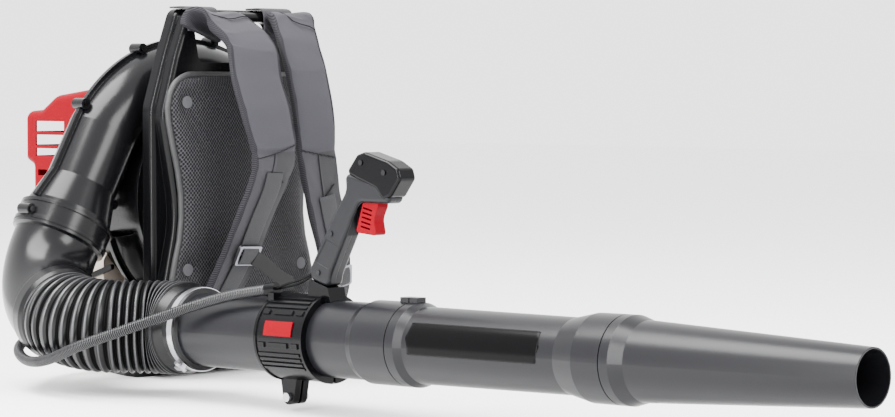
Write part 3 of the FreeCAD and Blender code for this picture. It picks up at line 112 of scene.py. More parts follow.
def spacer_mesh(name, hole, thread, scale, stretch):
    """Coarse open mesh: dark holes in rows between lighter threads."""
    made = material(name, thread, 0.75, Specular_IOR_Level=0.15)
    tree = made.node_tree
    shader = tree.nodes["Principled BSDF"]
    place = tree.nodes.new("ShaderNodeTexCoord")
    turned = tree.nodes.new("ShaderNodeMapping")
    turned.inputs["Rotation"].default_value = (0, math.radians(45), 0)
    turned.inputs["Scale"].default_value = stretch
    cells = tree.nodes.new("ShaderNodeTexVoronoi")
    cells.inputs["Scale"].default_value = scale
    cells.inputs["Randomness"].default_value = 0.12
    ramp = tree.nodes.new("ShaderNodeValToRGB")
    ramp.color_ramp.elements[0].position = 0.34
    ramp.color_ramp.elements[0].color = (*hole, 1)
    ramp.color_ramp.elements[1].position = 0.54
    ramp.color_ramp.elements[1].color = (*thread, 1)
    bump = tree.nodes.new("ShaderNodeBump")
    bump.inputs["Strength"].default_value = 0.6
    bump.inputs["Distance"].default_value = 0.001
    tree.links.new(place.outputs["Object"], turned.inputs["Vector"])
    tree.links.new(turned.outputs["Vector"], cells.inputs["Vector"])
    tree.links.new(cells.outputs["Distance"], ramp.inputs["Fac"])
    tree.links.new(cells.outputs["Distance"], bump.inputs["Height"])
    tree.links.new(ramp.outputs["Color"], shader.inputs["Base Color"])
    tree.links.new(bump.outputs["Normal"], shader.inputs["Normal"])
    return made


def ribbed_edge(name, groove, thread, scale):
    """Slanting rows of thread, as on a knitted edge."""
    made = material(name, thread, 0.8, Specular_IOR_Level=0.15)
    tree = made.node_tree
    shader = tree.nodes["Principled BSDF"]
    place = tree.nodes.new("ShaderNodeTexCoord")
    turned = tree.nodes.new("ShaderNodeMapping")
    turned.inputs["Rotation"].default_value = (0, math.radians(52), 0)
    rows = tree.nodes.new("ShaderNodeTexWave")
    rows.inputs["Scale"].default_value = scale
    rows.inputs["Distortion"].default_value = 0.6
    ramp = tree.nodes.new("ShaderNodeValToRGB")
    ramp.color_ramp.elements[0].color = (*groove, 1)
    ramp.color_ramp.elements[1].color = (*thread, 1)
    tree.links.new(place.outputs["Object"], turned.inputs["Vector"])
    tree.links.new(turned.outputs["Vector"], rows.inputs["Vector"])
    tree.links.new(rows.outputs["Fac"], ramp.inputs["Fac"])
    tree.links.new(ramp.outputs["Color"], shader.inputs["Base Color"])
    return made


def moulded(name, color, rough, edge=0.0009, **extra):
    """Hard plastic with softened edges."""
    return soften_edges(material(name, color, rough, **extra), edge)


MATERIALS = {
    "frame_black": moulded("frame_black_look", (0.0018, 0.0018, 0.0022),
                           0.22, Specular_IOR_Level=0.11),
    "casing_black": moulded("casing_black_look", (0.003, 0.003, 0.0035),
                            0.21, Specular_IOR_Level=0.2),
    "tube_grey": moulded("tube_grey_look", (0.0050, 0.0050, 0.0062), 0.3, Specular_IOR_Level=0.17),
    "hose_black": material("hose_black_look", (0.0018, 0.0018, 0.0022),
                           0.3, Specular_IOR_Level=0.2),
    "conduit_black": material("conduit_black_look", (0.001, 0.001, 0.0013),
                              0.25, Specular_IOR_Level=0.1),
    "grip_grey": moulded("grip_grey_look", (0.007, 0.0071, 0.0083), 0.36, edge=0.0016,
                         Specular_IOR_Level=0.14),
    "switch_black": moulded("switch_black_look", (0.0012, 0.0012, 0.0016),
                            0.22, Specular_IOR_Level=0.1),
    "red_plastic": moulded("red_plastic_look", (0.135, 0.0001, 0.0045),
                           0.36, Specular_IOR_Level=0.03),
    "tank_beige": moulded("tank_beige_look", (0.55, 0.48, 0.41), 0.45, Specular_IOR_Level=0.2),
    "rubber_black": material("rubber_black_look", (0.01, 0.01, 0.01), 0.6, Specular_IOR_Level=0.3),
    "steel": material("steel_look", (0.42, 0.42, 0.44), 0.3, metal=1.0),
    "machined_steel": material("machined_steel_look", (0.4, 0.4, 0.42), 0.25, metal=1.0),
    "cast_alloy": material("cast_alloy_look", (0.4, 0.4, 0.41), 0.45, metal=1.0),
    "fan_plastic": material("fan_plastic_look", (0.05, 0.05, 0.052), 0.5),
    "foam_grey": material("foam_grey_look", (0.06, 0.06, 0.06), 0.95),
    "ceramic_white": material("ceramic_white_look", (0.7, 0.7, 0.68), 0.2),
    "buckle_metal": moulded("buckle_metal_look", (0.16, 0.16, 0.175), 0.3, metal=1.0),
    "pad_mesh": spacer_mesh("pad_mesh_look", (0.0008, 0.0008, 0.001), (0.032, 0.031, 0.035), 300.0,
                            (1, 0.02, 0.72)),
    "strap_nylon": fabric("strap_nylon_look", (0.0158, 0.0146, 0.0205), 900.0, 0.3),
    "webbing_grey": fabric("webbing_grey_look", (0.011, 0.011, 0.013), 700.0, 0.5, sheen=0.03),
    "button_grey": fabric("button_grey_look", (0.045, 0.045, 0.05), 900.0, 0.3),
}
SCREW_BLACK = material("screw_black_look", (0.03, 0.03, 0.032), 0.25, metal=1.0)
PANEL_GREY = fabric("panel_grey_look", (0.0085, 0.0084, 0.0105), 800.0, 0.4)
GUSSET_GREY = fabric("gusset_grey_look", (0.0150, 0.0140, 0.0178), 900.0, 0.3)
EDGE_MESH = ribbed_edge("edge_mesh_look", (0.0012, 0.0012, 0.0015), (0.022, 0.021, 0.0255), 135.0)
WEB_EDGE = fabric("web_edge_look", (0.03, 0.029, 0.035), 900.0, 0.3)
# Painted highlight for rib crests (hose and conduit) and painted shade for the hose's rib grooves.
RIB_CREST_HIGHLIGHT = material("rib_crest_highlight_look", (0.026, 0.026, 0.028), 0.3, Specular_IOR_Level=0.4)
RIB_GROOVE_SHADE = material("rib_groove_shade_look", (0.0004, 0.0004, 0.0005), 0.6, Specular_IOR_Level=0.04)
# Near-black colour for the webbing's free end: painted shadow over its face.
TAIL_PAINTED_SHADE = fabric("tail_painted_shade_look", (0.0008, 0.0008, 0.001), 900.0, 0.3, sheen=0.0)
SEAM_DARK = material("seam_dark_look", (0.003, 0.003, 0.004), 0.8, Specular_IOR_Level=0.2)
PIPING = fabric("piping_look", (0.007, 0.007, 0.008), 1200.0, 0.3, rough=0.55, sheen=0.02)
PANEL_GLOSS = material("panel_gloss_look", (0.0010, 0.0009, 0.0011), 0.2, Specular_IOR_Level=0.06)
for grained in ("frame_black", "grip_grey", "tube_grey", "switch_black"):
    add_bump(MATERIALS[grained], "ShaderNodeTexNoise", 0.1, 0.0003, Scale=900.0, Detail=2.0)

for subpart in frame["record"]["subparts"]:
    node = NODES[subpart["node"]]
    for held in node.material_slots:
        held.material = MATERIALS[subpart["material_slot"]]
for screws in ("handle_screws", "volute_screws"):
    for held in NODES[screws].material_slots:
        held.material = SCREW_BLACK


# ---------------------------------------------------------------- mesh helpers

def mesh_object(name, verts, faces, looks, face_looks=None, smooth=True):
    mesh = bpy.data.meshes.new(name)
    mesh.from_pydata([tuple(v) for v in verts], [], faces)
    for look in looks:
        mesh.materials.append(look)
    if face_looks is not None:
        mesh.polygons.foreach_set("material_index", face_looks)
    mesh.polygons.foreach_set("use_smooth", [smooth] * len(faces))
    mesh.update()
    made = bpy.data.objects.new(name, mesh)
    bpy.context.collection.objects.link(made)
    return made


def loft_rings(name, rings, looks, look_of=None, caps=True):
    """A closed skin over rings of equal point counts."""
    count = len(rings[0])
    verts = [p for ring in rings for p in ring]
    faces = []
    marks = []
    for row in range(len(rings) - 1):
        for k in range(count):
            a, b = row * count + k, row * count + (k + 1) % count
            faces.append((a, b, b + count, a + count))
            marks.append(look_of(row, k) if look_of else 0)
    if caps:
        faces.append(tuple(range(count - 1, -1, -1)))
        faces.append(tuple(range((len(rings) - 1) * count, len(rings) * count)))
        marks += [marks[0], marks[-1]]
    return mesh_object(name, verts, faces, looks, marks)


def unit(vector):
    return vector / np.linalg.norm(vector)


def inflate(obj, held, reach):
    """Lets a cover swell under pressure between its held points, by no more than that reach."""
    rest = np.array([v.co for v in obj.data.vertices])
    group = obj.vertex_groups.new(name="held")
    group.add([int(k) for k in held], 1.0, "REPLACE")
    cloth = obj.modifiers.new("swell", "CLOTH")
    settings = cloth.settings
    settings.quality = 5
    settings.mass = 0.3
    settings.tension_stiffness = 12
    settings.compression_stiffness = 12
    settings.shear_stiffness = 6
    settings.bending_stiffness = 0.4
    settings.use_pressure = True
    settings.uniform_pressure_force = 4
    settings.vertex_group_mass = "held"
    settings.effector_weights.gravity = 0
    cloth.collision_settings.use_self_collision = False
    for number in range(1, SWELL_FRAMES + 1):
        bpy.context.scene.frame_set(number)
    shaped = obj.evaluated_get(bpy.context.evaluated_depsgraph_get()).to_mesh()
    moved = np.array([v.co for v in shaped.vertices]) - rest
    obj.modifiers.remove(cloth)
    bpy.context.scene.frame_set(1)
    length = np.linalg.norm(moved, axis=1)[:, None]
    length[length < 1e-9] = 1e-9
    moved *= np.minimum(1, reach * np.tanh(length / reach) / length)
    obj.data.vertices.foreach_set("co", (rest + moved).ravel())
    obj.data.update()
    obj.vertex_groups.clear()


def frames_along(points):
    """Tangent and two square directions at each point, carried along without twisting."""
    points = np.asarray(points, float)
    tangents = np.gradient(points, axis=0)
    tangents /= np.linalg.norm(tangents, axis=1)[:, None]
    side = unit(np.cross(tangents[0], (0.0, 0.0, 1.0)))
    out = []
    for tangent in tangents:
        side = unit(side - tangent * np.dot(side, tangent))
        out.append((tangent, side, np.cross(tangent, side)))
    return out


def tube(name, points, radii, sides, looks, caps=True, look_of=None):
    rings = []
    angles = np.linspace(0, 2 * math.pi, sides, endpoint=False)
    for point, radius, (_, side, up) in zip(points, radii, frames_along(points)):
        rings.append([np.asarray(point) + radius * (math.cos(a) * side + math.sin(a) * up)
                      for a in angles])
    return loft_rings(name, rings, looks, look_of, caps)


def arc_points(corners, radii, step):
    """Points along straight runs joined by tangent arcs."""
    corners = [np.asarray(c, float) for c in corners]
    dense = [corners[0]]
    for before, corner, after, radius in zip(corners, corners[1:], corners[2:], radii):
        into, out = unit(before - corner), unit(after - corner)
        half = (math.pi - math.acos(float(np.dot(into, out)))) / 2
        reach = radius * math.tan(half)
        centre = corner + unit(into + out) * radius / math.cos(half)
        start, end = corner + into * reach, corner + out * reach
        for share in np.linspace(0, 1, 40):
            angle = share * 2 * half
            first = start - centre
            sweep = unit(end - centre - first * np.dot(end - centre, first) / np.dot(first, first))
            dense.append(centre + first * math.cos(angle) + sweep * radius * math.sin(angle))
    dense.append(corners[-1])
    return resample(dense, step)


def resample(dense, step):
    dense = np.asarray(dense, float)
    along = np.concatenate([[0], np.cumsum(np.linalg.norm(np.diff(dense, axis=0), axis=1))])
    keep = np.concatenate([[True], np.diff(along) > 1e-9])
    dense, along = dense[keep], along[keep]
    places = np.linspace(0, along[-1], max(2, int(round(along[-1] / step)) + 1))
    spread = [np.interp(places, along, dense[:, axis]) for axis in range(3)]
    return np.stack(spread, axis=1), places


def smooth_line(stations, count):
    """A Catmull-Rom line through stations of any number of values, evenly spaced by index."""
    stations = np.asarray(stations, float)
    padded = np.vstack([2 * stations[0] - stations[1], stations, 2 * stations[-1] - stations[-2]])
    out = []
    for place in np.linspace(0, len(stations) - 1 - 1e-9, count):
        k = int(place)
        t = place - k
        p0, p1, p2, p3 = padded[k:k + 4]
        out.append(0.5 * (2 * p1 + (p2 - p0) * t + (2 * p0 - 5 * p1 + 4 * p2 - p3) * t * t
                          + (3 * p1 - p0 - 3 * p2 + p3) * t ** 3))
    return np.asarray(out)


# ---------------------------------------------------------------- flexible hose

LEAN = math.radians(29)
OUTLET = np.array([math.sin(LEAN), 0, -math.cos(LEAN)])
SCROLL_EXIT = np.array([-0.015, 0.02, 0.265]) + np.array([math.cos(LEAN), 0, math.sin(LEAN)]) * 0.2
COLLAR = SCROLL_EXIT + OUTLET * 0.149
ELBOW_END = unit(np.array([0.2498, 0.9454, -0.2096]))
HOSE_START = COLLAR + OUTLET * 0.1166 + ELBOW_END * 0.0986
TUBE_AXIS = unit(np.array([0, 0.99988, 0.0153]))
HOSE_END = np.array([0.24, 0.34, 0.096])


def make_hose():
    corners = [HOSE_START - ELBOW_END * 0.014, HOSE_START + ELBOW_END * 0.062,
               HOSE_END - TUBE_AXIS * 0.07, HOSE_END]
    points, along = arc_points(corners, [0.1, 0.08], 0.0011)
    total = along[-1]
    ribbed_from, ribbed_to, pitch = 0.026, total - 0.04, 0.0112
    radii = []
    for s in along:
        if s < 0.019:
            radius = 0.0675
        elif s < ribbed_from:
            radius = 0.0675 - 0.0035 * (s - 0.019) / (ribbed_from - 0.019)
        elif s < ribbed_to:
            phase = ((s - ribbed_from) / pitch) % 1
            radius = 0.0595 + 0.0058 * (0.5 - 0.5 * math.cos(2 * math.pi * phase)) ** 0.55
        elif s < total - 0.024:
            share = (s - ribbed_to) / (total - 0.024 - ribbed_to)
            radius = 0.0625 - 0.0055 * share ** 1.3
        else:
            radius = 0.0573 if s < total - 0.003 else 0.0562
        radii.append(radius)

    # Crest rows take the painted highlight, groove rows the painted shade.
    def look_of(row, _):
        place = along[row]
        if not ribbed_from < place < ribbed_to:
            return 0
        off_crest = abs((place - ribbed_from) / pitch % 1 - 0.5)
        return 1 if off_crest < 0.09 else 2 if off_crest > 0.3 else 0

    hose = tube("hose_bellows", points, radii, 72, [MATERIALS["hose_black"], RIB_CREST_HIGHLIGHT, RIB_GROOVE_SHADE],
                look_of=look_of)
    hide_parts("flex_hose")
    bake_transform(hose)


make_hose()


# ---------------------------------------------------------------- control conduit

CONDUIT = np.array([
    (128, -58, 61), (190, -58, 61), (250, -27, 60), (310, 15, 62), (352, 62, 52), (374, 118, 44),
    (383, 175, 52), (385, 240, 76), (352, 302, 100), (320, 340, 118), (298, 382, 134),
    (285, 420, 146), (275, 459, 155), (267, 497, 160.5),
]) * MM
CLIPS = (5, 9)


def spline_points(name, route):
    """Points read from a quadratic spline that starts and ends on the route's ends."""
    curve = bpy.data.curves.new(name, "CURVE")
    curve.dimensions = "3D"
    curve.resolution_u = 24
    spline = curve.splines.new("NURBS")
    spline.points.add(len(route) - 1)
    for point, place in zip(spline.points, route):
        point.co = (*place, 1)
    spline.order_u = 3
    spline.use_endpoint_u = True
    holder = bpy.data.objects.new(name, curve)
    bpy.context.collection.objects.link(holder)
    bpy.context.view_layer.update()
    line = bpy.data.meshes.new_from_object(holder.evaluated_get(bpy.context.evaluated_depsgraph_get()))
    points = [np.array(v.co) for v in line.vertices]
    bpy.data.meshes.remove(line)
    bpy.data.objects.remove(holder)
    bpy.data.curves.remove(curve)
    return points


def make_conduit():
    middles = [(CONDUIT[k] + CONDUIT[k + 1]) / 2 for k in CLIPS]
    first, second = CLIPS
    lengths = [
        ("conduit_a", list(CONDUIT[:first + 1]) + [middles[0]], "pack", "elbow_body"),
        ("conduit_b", [middles[0], *CONDUIT[first + 1:second + 1], middles[1]], "elbow_body", "tube_body"),
        ("conduit_c", [middles[1]] + list(CONDUIT[second + 1:]), "tube_body", "handle"),
    ]
    rib = 0.0028
    for name, route, body_a, body_b in lengths:
        points, along = resample(spline_points(f"{name}_line", route), 0.0007)
        radii = [0.0068 + 0.0007 * (0.5 + 0.5 * math.cos(2 * math.pi * s / rib)) ** 0.5
                 for s in along]
        # Every fourth row sits on a rib crest and takes the painted highlight.
        loom = tube(f"{name}_loom", points, radii, 20, [MATERIALS["conduit_black"], RIB_CREST_HIGHLIGHT],
                    look_of=lambda row, _: int(row % 4 == 0))
        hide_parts(name)
        tuple(points[0])
        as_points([tuple(p) for p in points[::8]] + [tuple(points[-1])])
        tuple(points[0])
        tuple(points[-1])
        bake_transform(loom)


def make_switch_wires():
    """Two thin wires from the conduit's gland up into the heel of the grip."""
    run = unit(CONDUIT[-1] - CONDUIT[-2])
    gland = CONDUIT[-1] + run * 0.0155
    for k, (offset, sag) in enumerate([(-0.0026, 0.0), (0.0026, 0.0035)]):
        aside = np.array((offset, 0, 0))
        route = [gland + aside, gland + aside + run * 0.016 + (0, 0, 0.001 + sag),
                 np.array((0.2515, 0.5515, 0.173 + sag)) + aside, np.array((0.2455, 0.567, 0.186)) + aside]
        points, along = resample(spline_points(f"switch_wire_{k}_line", route), 0.001)
        wire = tube(f"switch_wire_{k}", points, [0.0016] * len(points), 12, [MATERIALS["conduit_black"]])
        tuple(points[0])
        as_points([tuple(p) for p in points[::6]] + [tuple(points[-1])])
        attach(wire, "handle")


def make_starter_rope():
    """The rope from the starter's housing to its handle."""
    inner, outer = np.array((-0.062, -0.171, 0.227)), np.array((-0.119, -0.171, 0.227))
    route = [inner, inner * 0.6 + outer * 0.4 + (0, 0, -0.0003), outer]
    points, along = resample(spline_points("starter_rope_line", route), 0.0008)
    radii = [0.0019 + 0.00015 * math.sin(2 * math.pi * s / 0.004) for s in along]
    rope = tube("starter_pull_rope", points, radii, 12, [MATERIALS["webbing_grey"]])
    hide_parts("starter_rope")
    tuple(points[0])
    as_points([tuple(p) for p in points[::6]] + [tuple(points[-1])])
    tuple(inner)
    tuple(outer)
    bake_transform(rope)


make_conduit()
make_switch_wires()
make_starter_rope()


# ---------------------------------------------------------------- back pad

PAD_WIDTHS = [
    (95, 124), (108, 133), (130, 137), (150, 136.5), (175, 131), (205, 122.5), (240, 118), (275, 119),
    (310, 125), (345, 134), (380, 141.5), (400, 143.5), (420, 139), (436, 130), (448, 120),
]
BUTTONS = [(-112, 408), (112, 408), (-112, 163), (112, 163)]
PAD_BACK = 140.6
PAD_FRONT = 158.3


def pad_half_width(z):
    heights, widths = zip(*PAD_WIDTHS)
    width = float(np.interp(z, heights, widths))
    corner = 20
    for depth in (z - heights[0], heights[-1] - z):
        if depth < corner:
            width -= corner - math.sqrt(max(0, corner ** 2 - (corner - depth) ** 2))
    return width


def pad_front(x, z):
    """How far forward the pad's face stands at x, z in millimetres."""
    half = pad_half_width(z)
    across = min(1, abs(x) / half)
    low, high = PAD_WIDTHS[0][0], PAD_WIDTHS[-1][0]
    rise = min(1, abs(2 * (z - low) / (high - low) - 1))
    edge = (1 - across ** 7) ** 0.5 * (1 - rise ** 14) ** 0.5
    crown = 5.5 * (1 - across ** 2) * (1 - rise ** 4) + 4.5
    front = PAD_BACK + 5 + (PAD_FRONT - PAD_BACK - 5 + crown) * edge
    for button_x, button_z in BUTTONS:
        away = math.hypot(x - button_x, z - button_z)
        bottom = 151.8
        pull = math.exp(-(away / 32) ** 2) * 0.6 + math.exp(-(away / 14) ** 2) * 0.4
        front -= max(0, front - bottom) * pull
    return front


def make_pad():
    low, high = PAD_WIDTHS[0][0], PAD_WIDTHS[-1][0]
    rows, columns = 150, 120
    verts, faces = [], []
    for row in range(rows + 1):
        z = low + (high - low) * (0.5 - 0.5 * math.cos(math.pi * row / rows))
        half = pad_half_width(z)
        for column in range(columns + 1):
            x = -half * math.cos(math.pi * column / columns)
            verts.append((x * MM, pad_front(x, z) * MM, z * MM))
    for row in range(rows):
        for column in range(columns):
            a = row * (columns + 1) + column
            faces.append((a, a + columns + 1, a + columns + 2, a + 1))
    face_count = len(verts)
    outline = [row * (columns + 1) for row in range(rows + 1)]
    outline += [rows * (columns + 1) + c for c in range(1, columns + 1)]
    outline += [row * (columns + 1) + columns for row in range(rows - 1, -1, -1)]
    outline += list(range(columns - 1, 0, -1))
    for index in outline:
        x, _, z = verts[index]
        verts.append((x, PAD_BACK * MM, z))
    for k in range(len(outline)):
        after = (k + 1) % len(outline)
        faces.append((outline[k], face_count + k, face_count + after, outline[after]))
    faces.append(tuple(face_count + k for k in range(len(outline))))
    pad = mesh_object("back_pad_cover", verts, faces, [MATERIALS["pad_mesh"]])
    held = list(outline) + list(range(face_count, len(verts)))
    held += [k for k, (x, _, z) in enumerate(verts[:face_count])
             if any(math.hypot(x / MM - bx, z / MM - bz) < 11 for bx, bz in BUTTONS)]
    inflate(pad, held, 0.0025)
    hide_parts("back_pad")
    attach(pad, "pack")
    ring = []
    for index in outline:
        x, _, z = verts[index]
        ring.append((x, (PAD_BACK + 6.5) * MM, z))
    points, _ = resample(ring + [ring[0]], 0.003)
    piping = tube("pad_piping", points, [0.0048] * len(points), 12, [PIPING], caps=False)
    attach(piping, "pack")


make_pad()


# ---------------------------------------------------------------- shoulder straps

STRAP_RIGHT = [
    (88, 157, 508, 74), (82, 158, 524, 82), (71, 171, 530, 87), (61, 192, 520, 88), (52, 225, 490, 90),
    (58, 246, 440, 92), (54, 262, 390, 92),
    (49, 271, 335, 80), (52, 262, 290, 70), (59, 240, 240, 68), (62, 209, 180, 70), (76, 178, 118, 62),
]
STRAP_LEFT = [
    (-85, 157, 508, 66), (-81, 158, 523, 72), (-74, 170, 531, 76), (-66, 186, 524, 76), (-56, 212, 490, 76),
    (-54, 233, 440, 76), (-56, 243, 390, 76),
    (-60, 245, 330, 72), (-72, 250, 250, 64), (-89, 252, 180, 56), (-102, 238, 122, 50), (-107, 205, 84, 46),
    (-105, 162, 68, 42),
]
STRAP_THICK = 18
STRAP_ROWS = 220
CROSS_SEAM = 7  # the station where the lower panel is sewn on
TACK_ROWS = 14  # rows from the cross seam to the tacked fold below it
STRAP_CORNER = 0.42  # below 1 squares the section's corners across the strap


def strap_frames(stations, count):
    """Centre, across, outward and width at places down the strap, in millimetres."""
    line = smooth_line(stations, count)
    tangents = np.gradient(line[:, :3], axis=0)
    out = []
    for (x, y, z, width), tangent in zip(line, tangents):
        along = unit(tangent)
        wide = unit(np.array((1.0, 0, 0)) - along * along[0])
        out.append((np.array((x, y, z)), wide, np.cross(wide, along), width))
    return out


def make_strap(name, stations, node):
    count = STRAP_ROWS
    sides = 56
    seam_row = int(CROSS_SEAM / (len(stations) - 1) * (count - 1))
    tack_row = seam_row + TACK_ROWS
    rings = []
    for row, (centre, wide, out, width) in enumerate(strap_frames(stations, count)):
        puff = 1 + 0.06 * math.sin(row * 0.31) * math.sin(row * 0.093)
        pinch = 1 - 0.3 * math.exp(-((row - seam_row) / 1.8) ** 2)
        pinch -= 0.24 * math.exp(-((row - tack_row) / 2.5) ** 2)
        thick = STRAP_THICK * puff * pinch
        ring = []
        for k in range(sides):
            angle = 2 * math.pi * k / sides
            c, s = math.cos(angle), math.sin(angle)
            u = math.copysign(abs(c) ** STRAP_CORNER, c)
            v = math.copysign(abs(s) ** 0.55, s)
            crease = 0.5 * math.sin(9 * u + row * 0.21) * math.exp(-((row - tack_row) / 12) ** 2)
            ripple = 0.3 * math.sin(4 * u + row * 0.12) * math.sin(row * 0.05)
            lift = (crease + ripple) * max(0, v)
            ring.append((centre + wide * u * width / 2 + out * (v * thick / 2 + lift)) * MM)
        rings.append(ring)

    def look_of(row, k):
        angle = 360 * (k + 0.5) / sides
        if not 38 < angle < 142:
            return 3
        if row < seam_row:
            return 0
        across = math.cos(math.radians(angle))
        across = math.copysign(abs(across) ** STRAP_CORNER, across)
        return 2 if across > split_at((row - seam_row) / (count - seam_row)) else 1

    looks = [MATERIALS["strap_nylon"], PANEL_GREY, GUSSET_GREY, EDGE_MESH]
    strap = loft_rings(name, rings, looks, look_of)
    rim = [k for k in range(sides) if min(k, abs(k - sides // 2), sides - k) < 2]
    held = [row * sides + k for row in range(count) for k in rim]
    for row in [*range(3), seam_row, tack_row, *range(count - 3, count)]:
        held += range(row * sides, (row + 1) * sides)
    inflate(strap, held, 0.003)
    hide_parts(node)
    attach(strap, "pack")


def split_at(share):
    """Where across the lower strap its two fabrics meet, from 1 at the outer edge to -1."""
    return 0.12 + 0.3 * min(1, share * 1.6)


def strap_path(name, stations, route, radius, look=None):
    """A seam on the face of a strap through (share down, place across) pairs."""
    frames = strap_frames(stations, 401)
    dense = []
    for (s0, u0), (s1, u1) in zip(route, route[1:]):
        for t in np.linspace(0, 1, 24, endpoint=False):
            dense.append((s0 + (s1 - s0) * t, u0 + (u1 - u0) * t))
    dense.append(route[-1])
    points = []
    for share, u in dense:
        centre, wide, out, width = frames[int(round(share * 400))]
        rise = STRAP_THICK / 2 * (1 - abs(u) ** 6) ** 0.4
        points.append((centre + wide * u * width / 2 + out * (rise - 0.2)) * MM)
    points, _ = resample(points, 0.002)
    seam = tube(name, points, [radius * MM] * len(points), 8, [look or SEAM_DARK])
    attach(seam, "pack")


def make_straps():
    for side, stations in (("right", STRAP_RIGHT), ("left", STRAP_LEFT)):
        make_strap(f"strap_{side}_cover", stations, f"strap_{side}")
        last = len(stations) - 1
        seam = CROSS_SEAM / last
        tack = seam + TACK_ROWS / STRAP_ROWS
        slope = 0.016 if side == "right" else -0.012
        strap_path(f"strap_{side}_cross_seam", stations,
                   [(seam + slope * u, u) for u in (-0.96, -0.5, 0, 0.5, 0.96)], 0.9)
        lower = [(seam + (1 - seam) * t, split_at(t)) for t in np.linspace(0, 1, 14)]
        strap_path(f"strap_{side}_split_seam", stations, lower, 0.9)
        tilt = -0.02 if side == "right" else 0.02
        strap_path(f"strap_{side}_tack", stations,
                   [(tack + tilt * 0.2, 0.2), (tack - tilt * 0.2, -0.15), (tack - tilt * 0.7, -0.55)], 1.3)
        flap = [(0.17, 0.82), (0.2, 0.6), (0.235, 0.32), (0.26, 0.12), (0.265, -0.2), (0.267, -0.96)]
        strap_path(f"strap_{side}_flap_seam", stations, flap, 0.8)
        strap_path(f"strap_{side}_flap_stitch", stations,
                   [(share + 0.007, u) for share, u in flap[3:]], 0.35, WEB_EDGE)


def band(name, centres, wides, width, thickness, looks):
    """A flat band through centres, square in section."""
    rings = []
    for k, (centre, wide) in enumerate(zip(centres, wides)):
        along = unit(centres[min(k + 1, len(centres) - 1)] - centres[max(k - 1, 0)])
        wide = unit(wide - along * np.dot(wide, along))
        out = np.cross(wide, along)
        half, thin = width / 2, thickness / 2
        corners = [(-half, -thin), (-half + 1, -thin * 1.5), (half - 1, -thin * 1.5), (half, -thin),
                   (half, thin), (half - 1, thin * 1.5), (-half + 1, thin * 1.5), (-half, thin)]
        rings.append([(centre + wide * u + out * v) * MM for u, v in corners])
    return loft_rings(name, rings, looks)


def make_webbing():
    for side, stations in (("right", STRAP_RIGHT), ("left", STRAP_LEFT)):
        frames = strap_frames(stations[CROSS_SEAM:], 60)
        centres = [centre + out * (STRAP_THICK / 2 + 0.6) for centre, _, out, _ in frames[9:]]
        wides = [wide for _, wide, _, _ in frames[9:]]
        web = band(f"webbing_{side}", centres, wides, 30, 1.6, [MATERIALS["webbing_grey"]])
        if side == "right":
            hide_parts("strap_webbing")
        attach(web, "pack")


def lock_middle(side):
    """The middle of the metal lock on a strap, in millimetres."""
    lock = NODES["ladder_locks"]
    corners = np.array([lock.matrix_world @ v.co for v in lock.data.vertices]) / MM
    return corners[(corners[:, 0] > 0) == (side == "right")].mean(axis=0)


def make_lock_webbing():
    """Where the webbing folds over the lock's middle bars, and the free end below the near one."""
    for side, stations in (("right", STRAP_RIGHT), ("left", STRAP_LEFT)):
        middle = lock_middle(side)
        _, wide, out, _ = min(strap_frames(stations, 301),
                              key=lambda f: np.linalg.norm(f[0] - middle))
        along = np.cross(out, wide)
        rises = [(-12.5, 0.5), (-11, 3.4), (-6, 4.6), (0, 4.9), (6, 4.6), (11, 3.4), (12.5, 0.5)]
        centres = list(smooth_line([(middle + along * u + out * v) for u, v in rises], 28))
        fold = band(f"lock_webbing_{side}", centres, [wide] * 28, 30, 1.4,
                    [MATERIALS["webbing_grey"]])
        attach(fold, "pack")
        if side == "left":
            continue
        route = [middle + wide * a + out * b + np.array((0, 0, c)) for a, b, c in
                 ((-10, 5.6, -1), (-22, 7, -6), (-36, 11, -14), (-50, 15, -22), (-64, 18, -27),
                  (-76, 20, -30))]
        centres = list(smooth_line(route, 40))
        turns = [unit(along + out * t) for t in np.linspace(0.2, 1.3, 40)]
        # The free end is painted near black as its shadow.
        tail = band("webbing_tail", centres, turns, 22, 1.3, [TAIL_PAINTED_SHADE])
        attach(tail, "pack")


def make_patches():
    for side, x in (("left", -75), ("right", 74)):
        stations = [(x, 104, 546.8), (x, 118, 547), (x, 132, 547), (x, 141, 544.5), (x, 145, 538),
                    (x, 146, 526), (x, 146, 512)]
        centres = list(smooth_line(stations, 30))
        patch = band(f"strap_patch_{side}", centres, [np.array((1.0, 0, 0))] * 30, 58, 1.8,
                     [GUSSET_GREY])
        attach(patch, "pack")
    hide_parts("strap_patches")


make_straps()
make_webbing()
make_lock_webbing()
make_patches()


# ---------------------------------------------------------------- tube panel

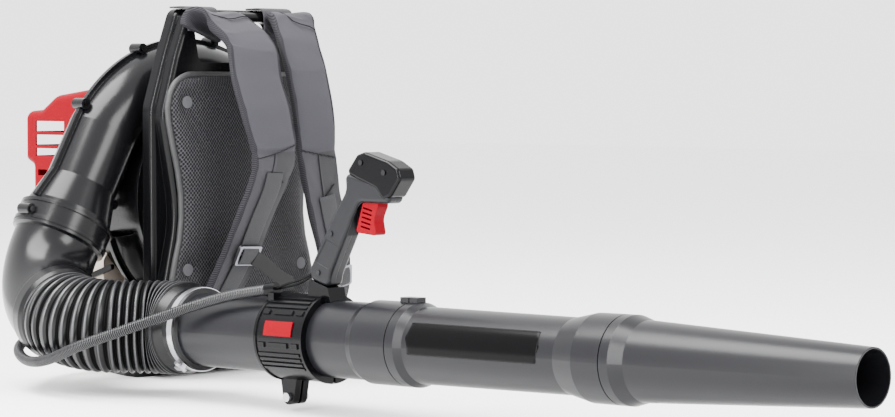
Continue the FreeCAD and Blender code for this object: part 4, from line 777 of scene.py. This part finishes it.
def make_tube_panel():
    """A glossy raised panel on the near side of the middle tube."""
    rings = []
    for share in np.linspace(0, 1, 60):
        u = 0.437 + 0.223 * share
        radius = 0.0494 - 0.0021 * (u - 0.431) / 0.252 + 0.0004
        end = min(share, 1 - share) * 60
        spread = 24.5 * math.sqrt(max(0, 1 - max(0, 1 - end / 1.5) ** 2)) + 0.5
        centre = HOSE_END + TUBE_AXIS * u
        up = np.cross(np.array((1.0, 0, 0)), TUBE_AXIS)
        ring = []
        for angle in np.linspace(-spread, spread, 17) + 16:
            a = math.radians(angle)
            ring.append(centre + (np.array((1.0, 0, 0)) * math.cos(a) + up * math.sin(a)) * radius)
        for angle in np.linspace(spread, -spread, 17) + 16:
            a = math.radians(angle)
            ring.append(centre + (np.array((1.0, 0, 0)) * math.cos(a) + up * math.sin(a)) * (radius - 0.0008))
        rings.append(ring)
    panel = loft_rings("tube_gloss_panel", rings, [PANEL_GLOSS])
    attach(panel, "middle_body")


make_tube_panel()


# ---------------------------------------------------------------- stage

def area_light(name, place, target, size, power, size_y=None):
    data = bpy.data.lights.new(name, "AREA")
    data.shape = "RECTANGLE"
    data.size = size
    data.size_y = size_y or size
    data.energy = power
    lamp = bpy.data.objects.new(name, data)
    lamp.location = place
    lamp.rotation_euler = (Vector(target) - Vector(place)).to_track_quat("-Z", "Y").to_euler()
    bpy.context.collection.objects.link(lamp)


def make_stage():
    floor_mesh = bpy.data.meshes.new("floor")
    reach = 12
    corners = [(-reach, -reach, 0), (reach, -reach, 0), (reach, reach, 0), (-reach, reach, 0)]
    floor_mesh.from_pydata(corners, [], [(0, 1, 2, 3)])
    floor_mesh.materials.append(material("floor_look", (0.95, 0.95, 0.95), 0.8))
    floor = bpy.data.objects.new("floor", floor_mesh)
    floor.location.z = -0.0005
    bpy.context.collection.objects.link(floor)
    world = bpy.data.worlds.new("studio")
    bpy.context.scene.world = world
    world.use_nodes = True
    world.node_tree.nodes["Background"].inputs["Color"].default_value = (1, 1, 1, 1)
    world.node_tree.nodes["Background"].inputs["Strength"].default_value = 2.8
    area_light("key", (1.2, -0.2, 2.8), (0.1, 0.3, 0.2), 1.8, 290)
    area_light("front", (0.3, 3.4, 2.0), (0.1, 0.3, 0.25), 1.5, 140)
    area_light("strip", (2.6, 0.6, 1.0), (0.2, 0.3, 0.2), 0.3, 130, 2.2)


def make_camera():
    data = bpy.data.cameras.new("camera")
    data.lens = 108.6
    data.sensor_width = 36
    camera = bpy.data.objects.new("camera", data)
    camera.location = (2.679, 3.160, 0.433)
    tilt = math.radians(2.62)
    look = Vector((-0.7193 * math.cos(tilt), -0.6947 * math.cos(tilt), -math.sin(tilt)))
    camera.rotation_euler = look.to_track_quat("-Z", "Y").to_euler()
    bpy.context.collection.objects.link(camera)
    bpy.context.scene.camera = camera


make_stage()
make_camera()
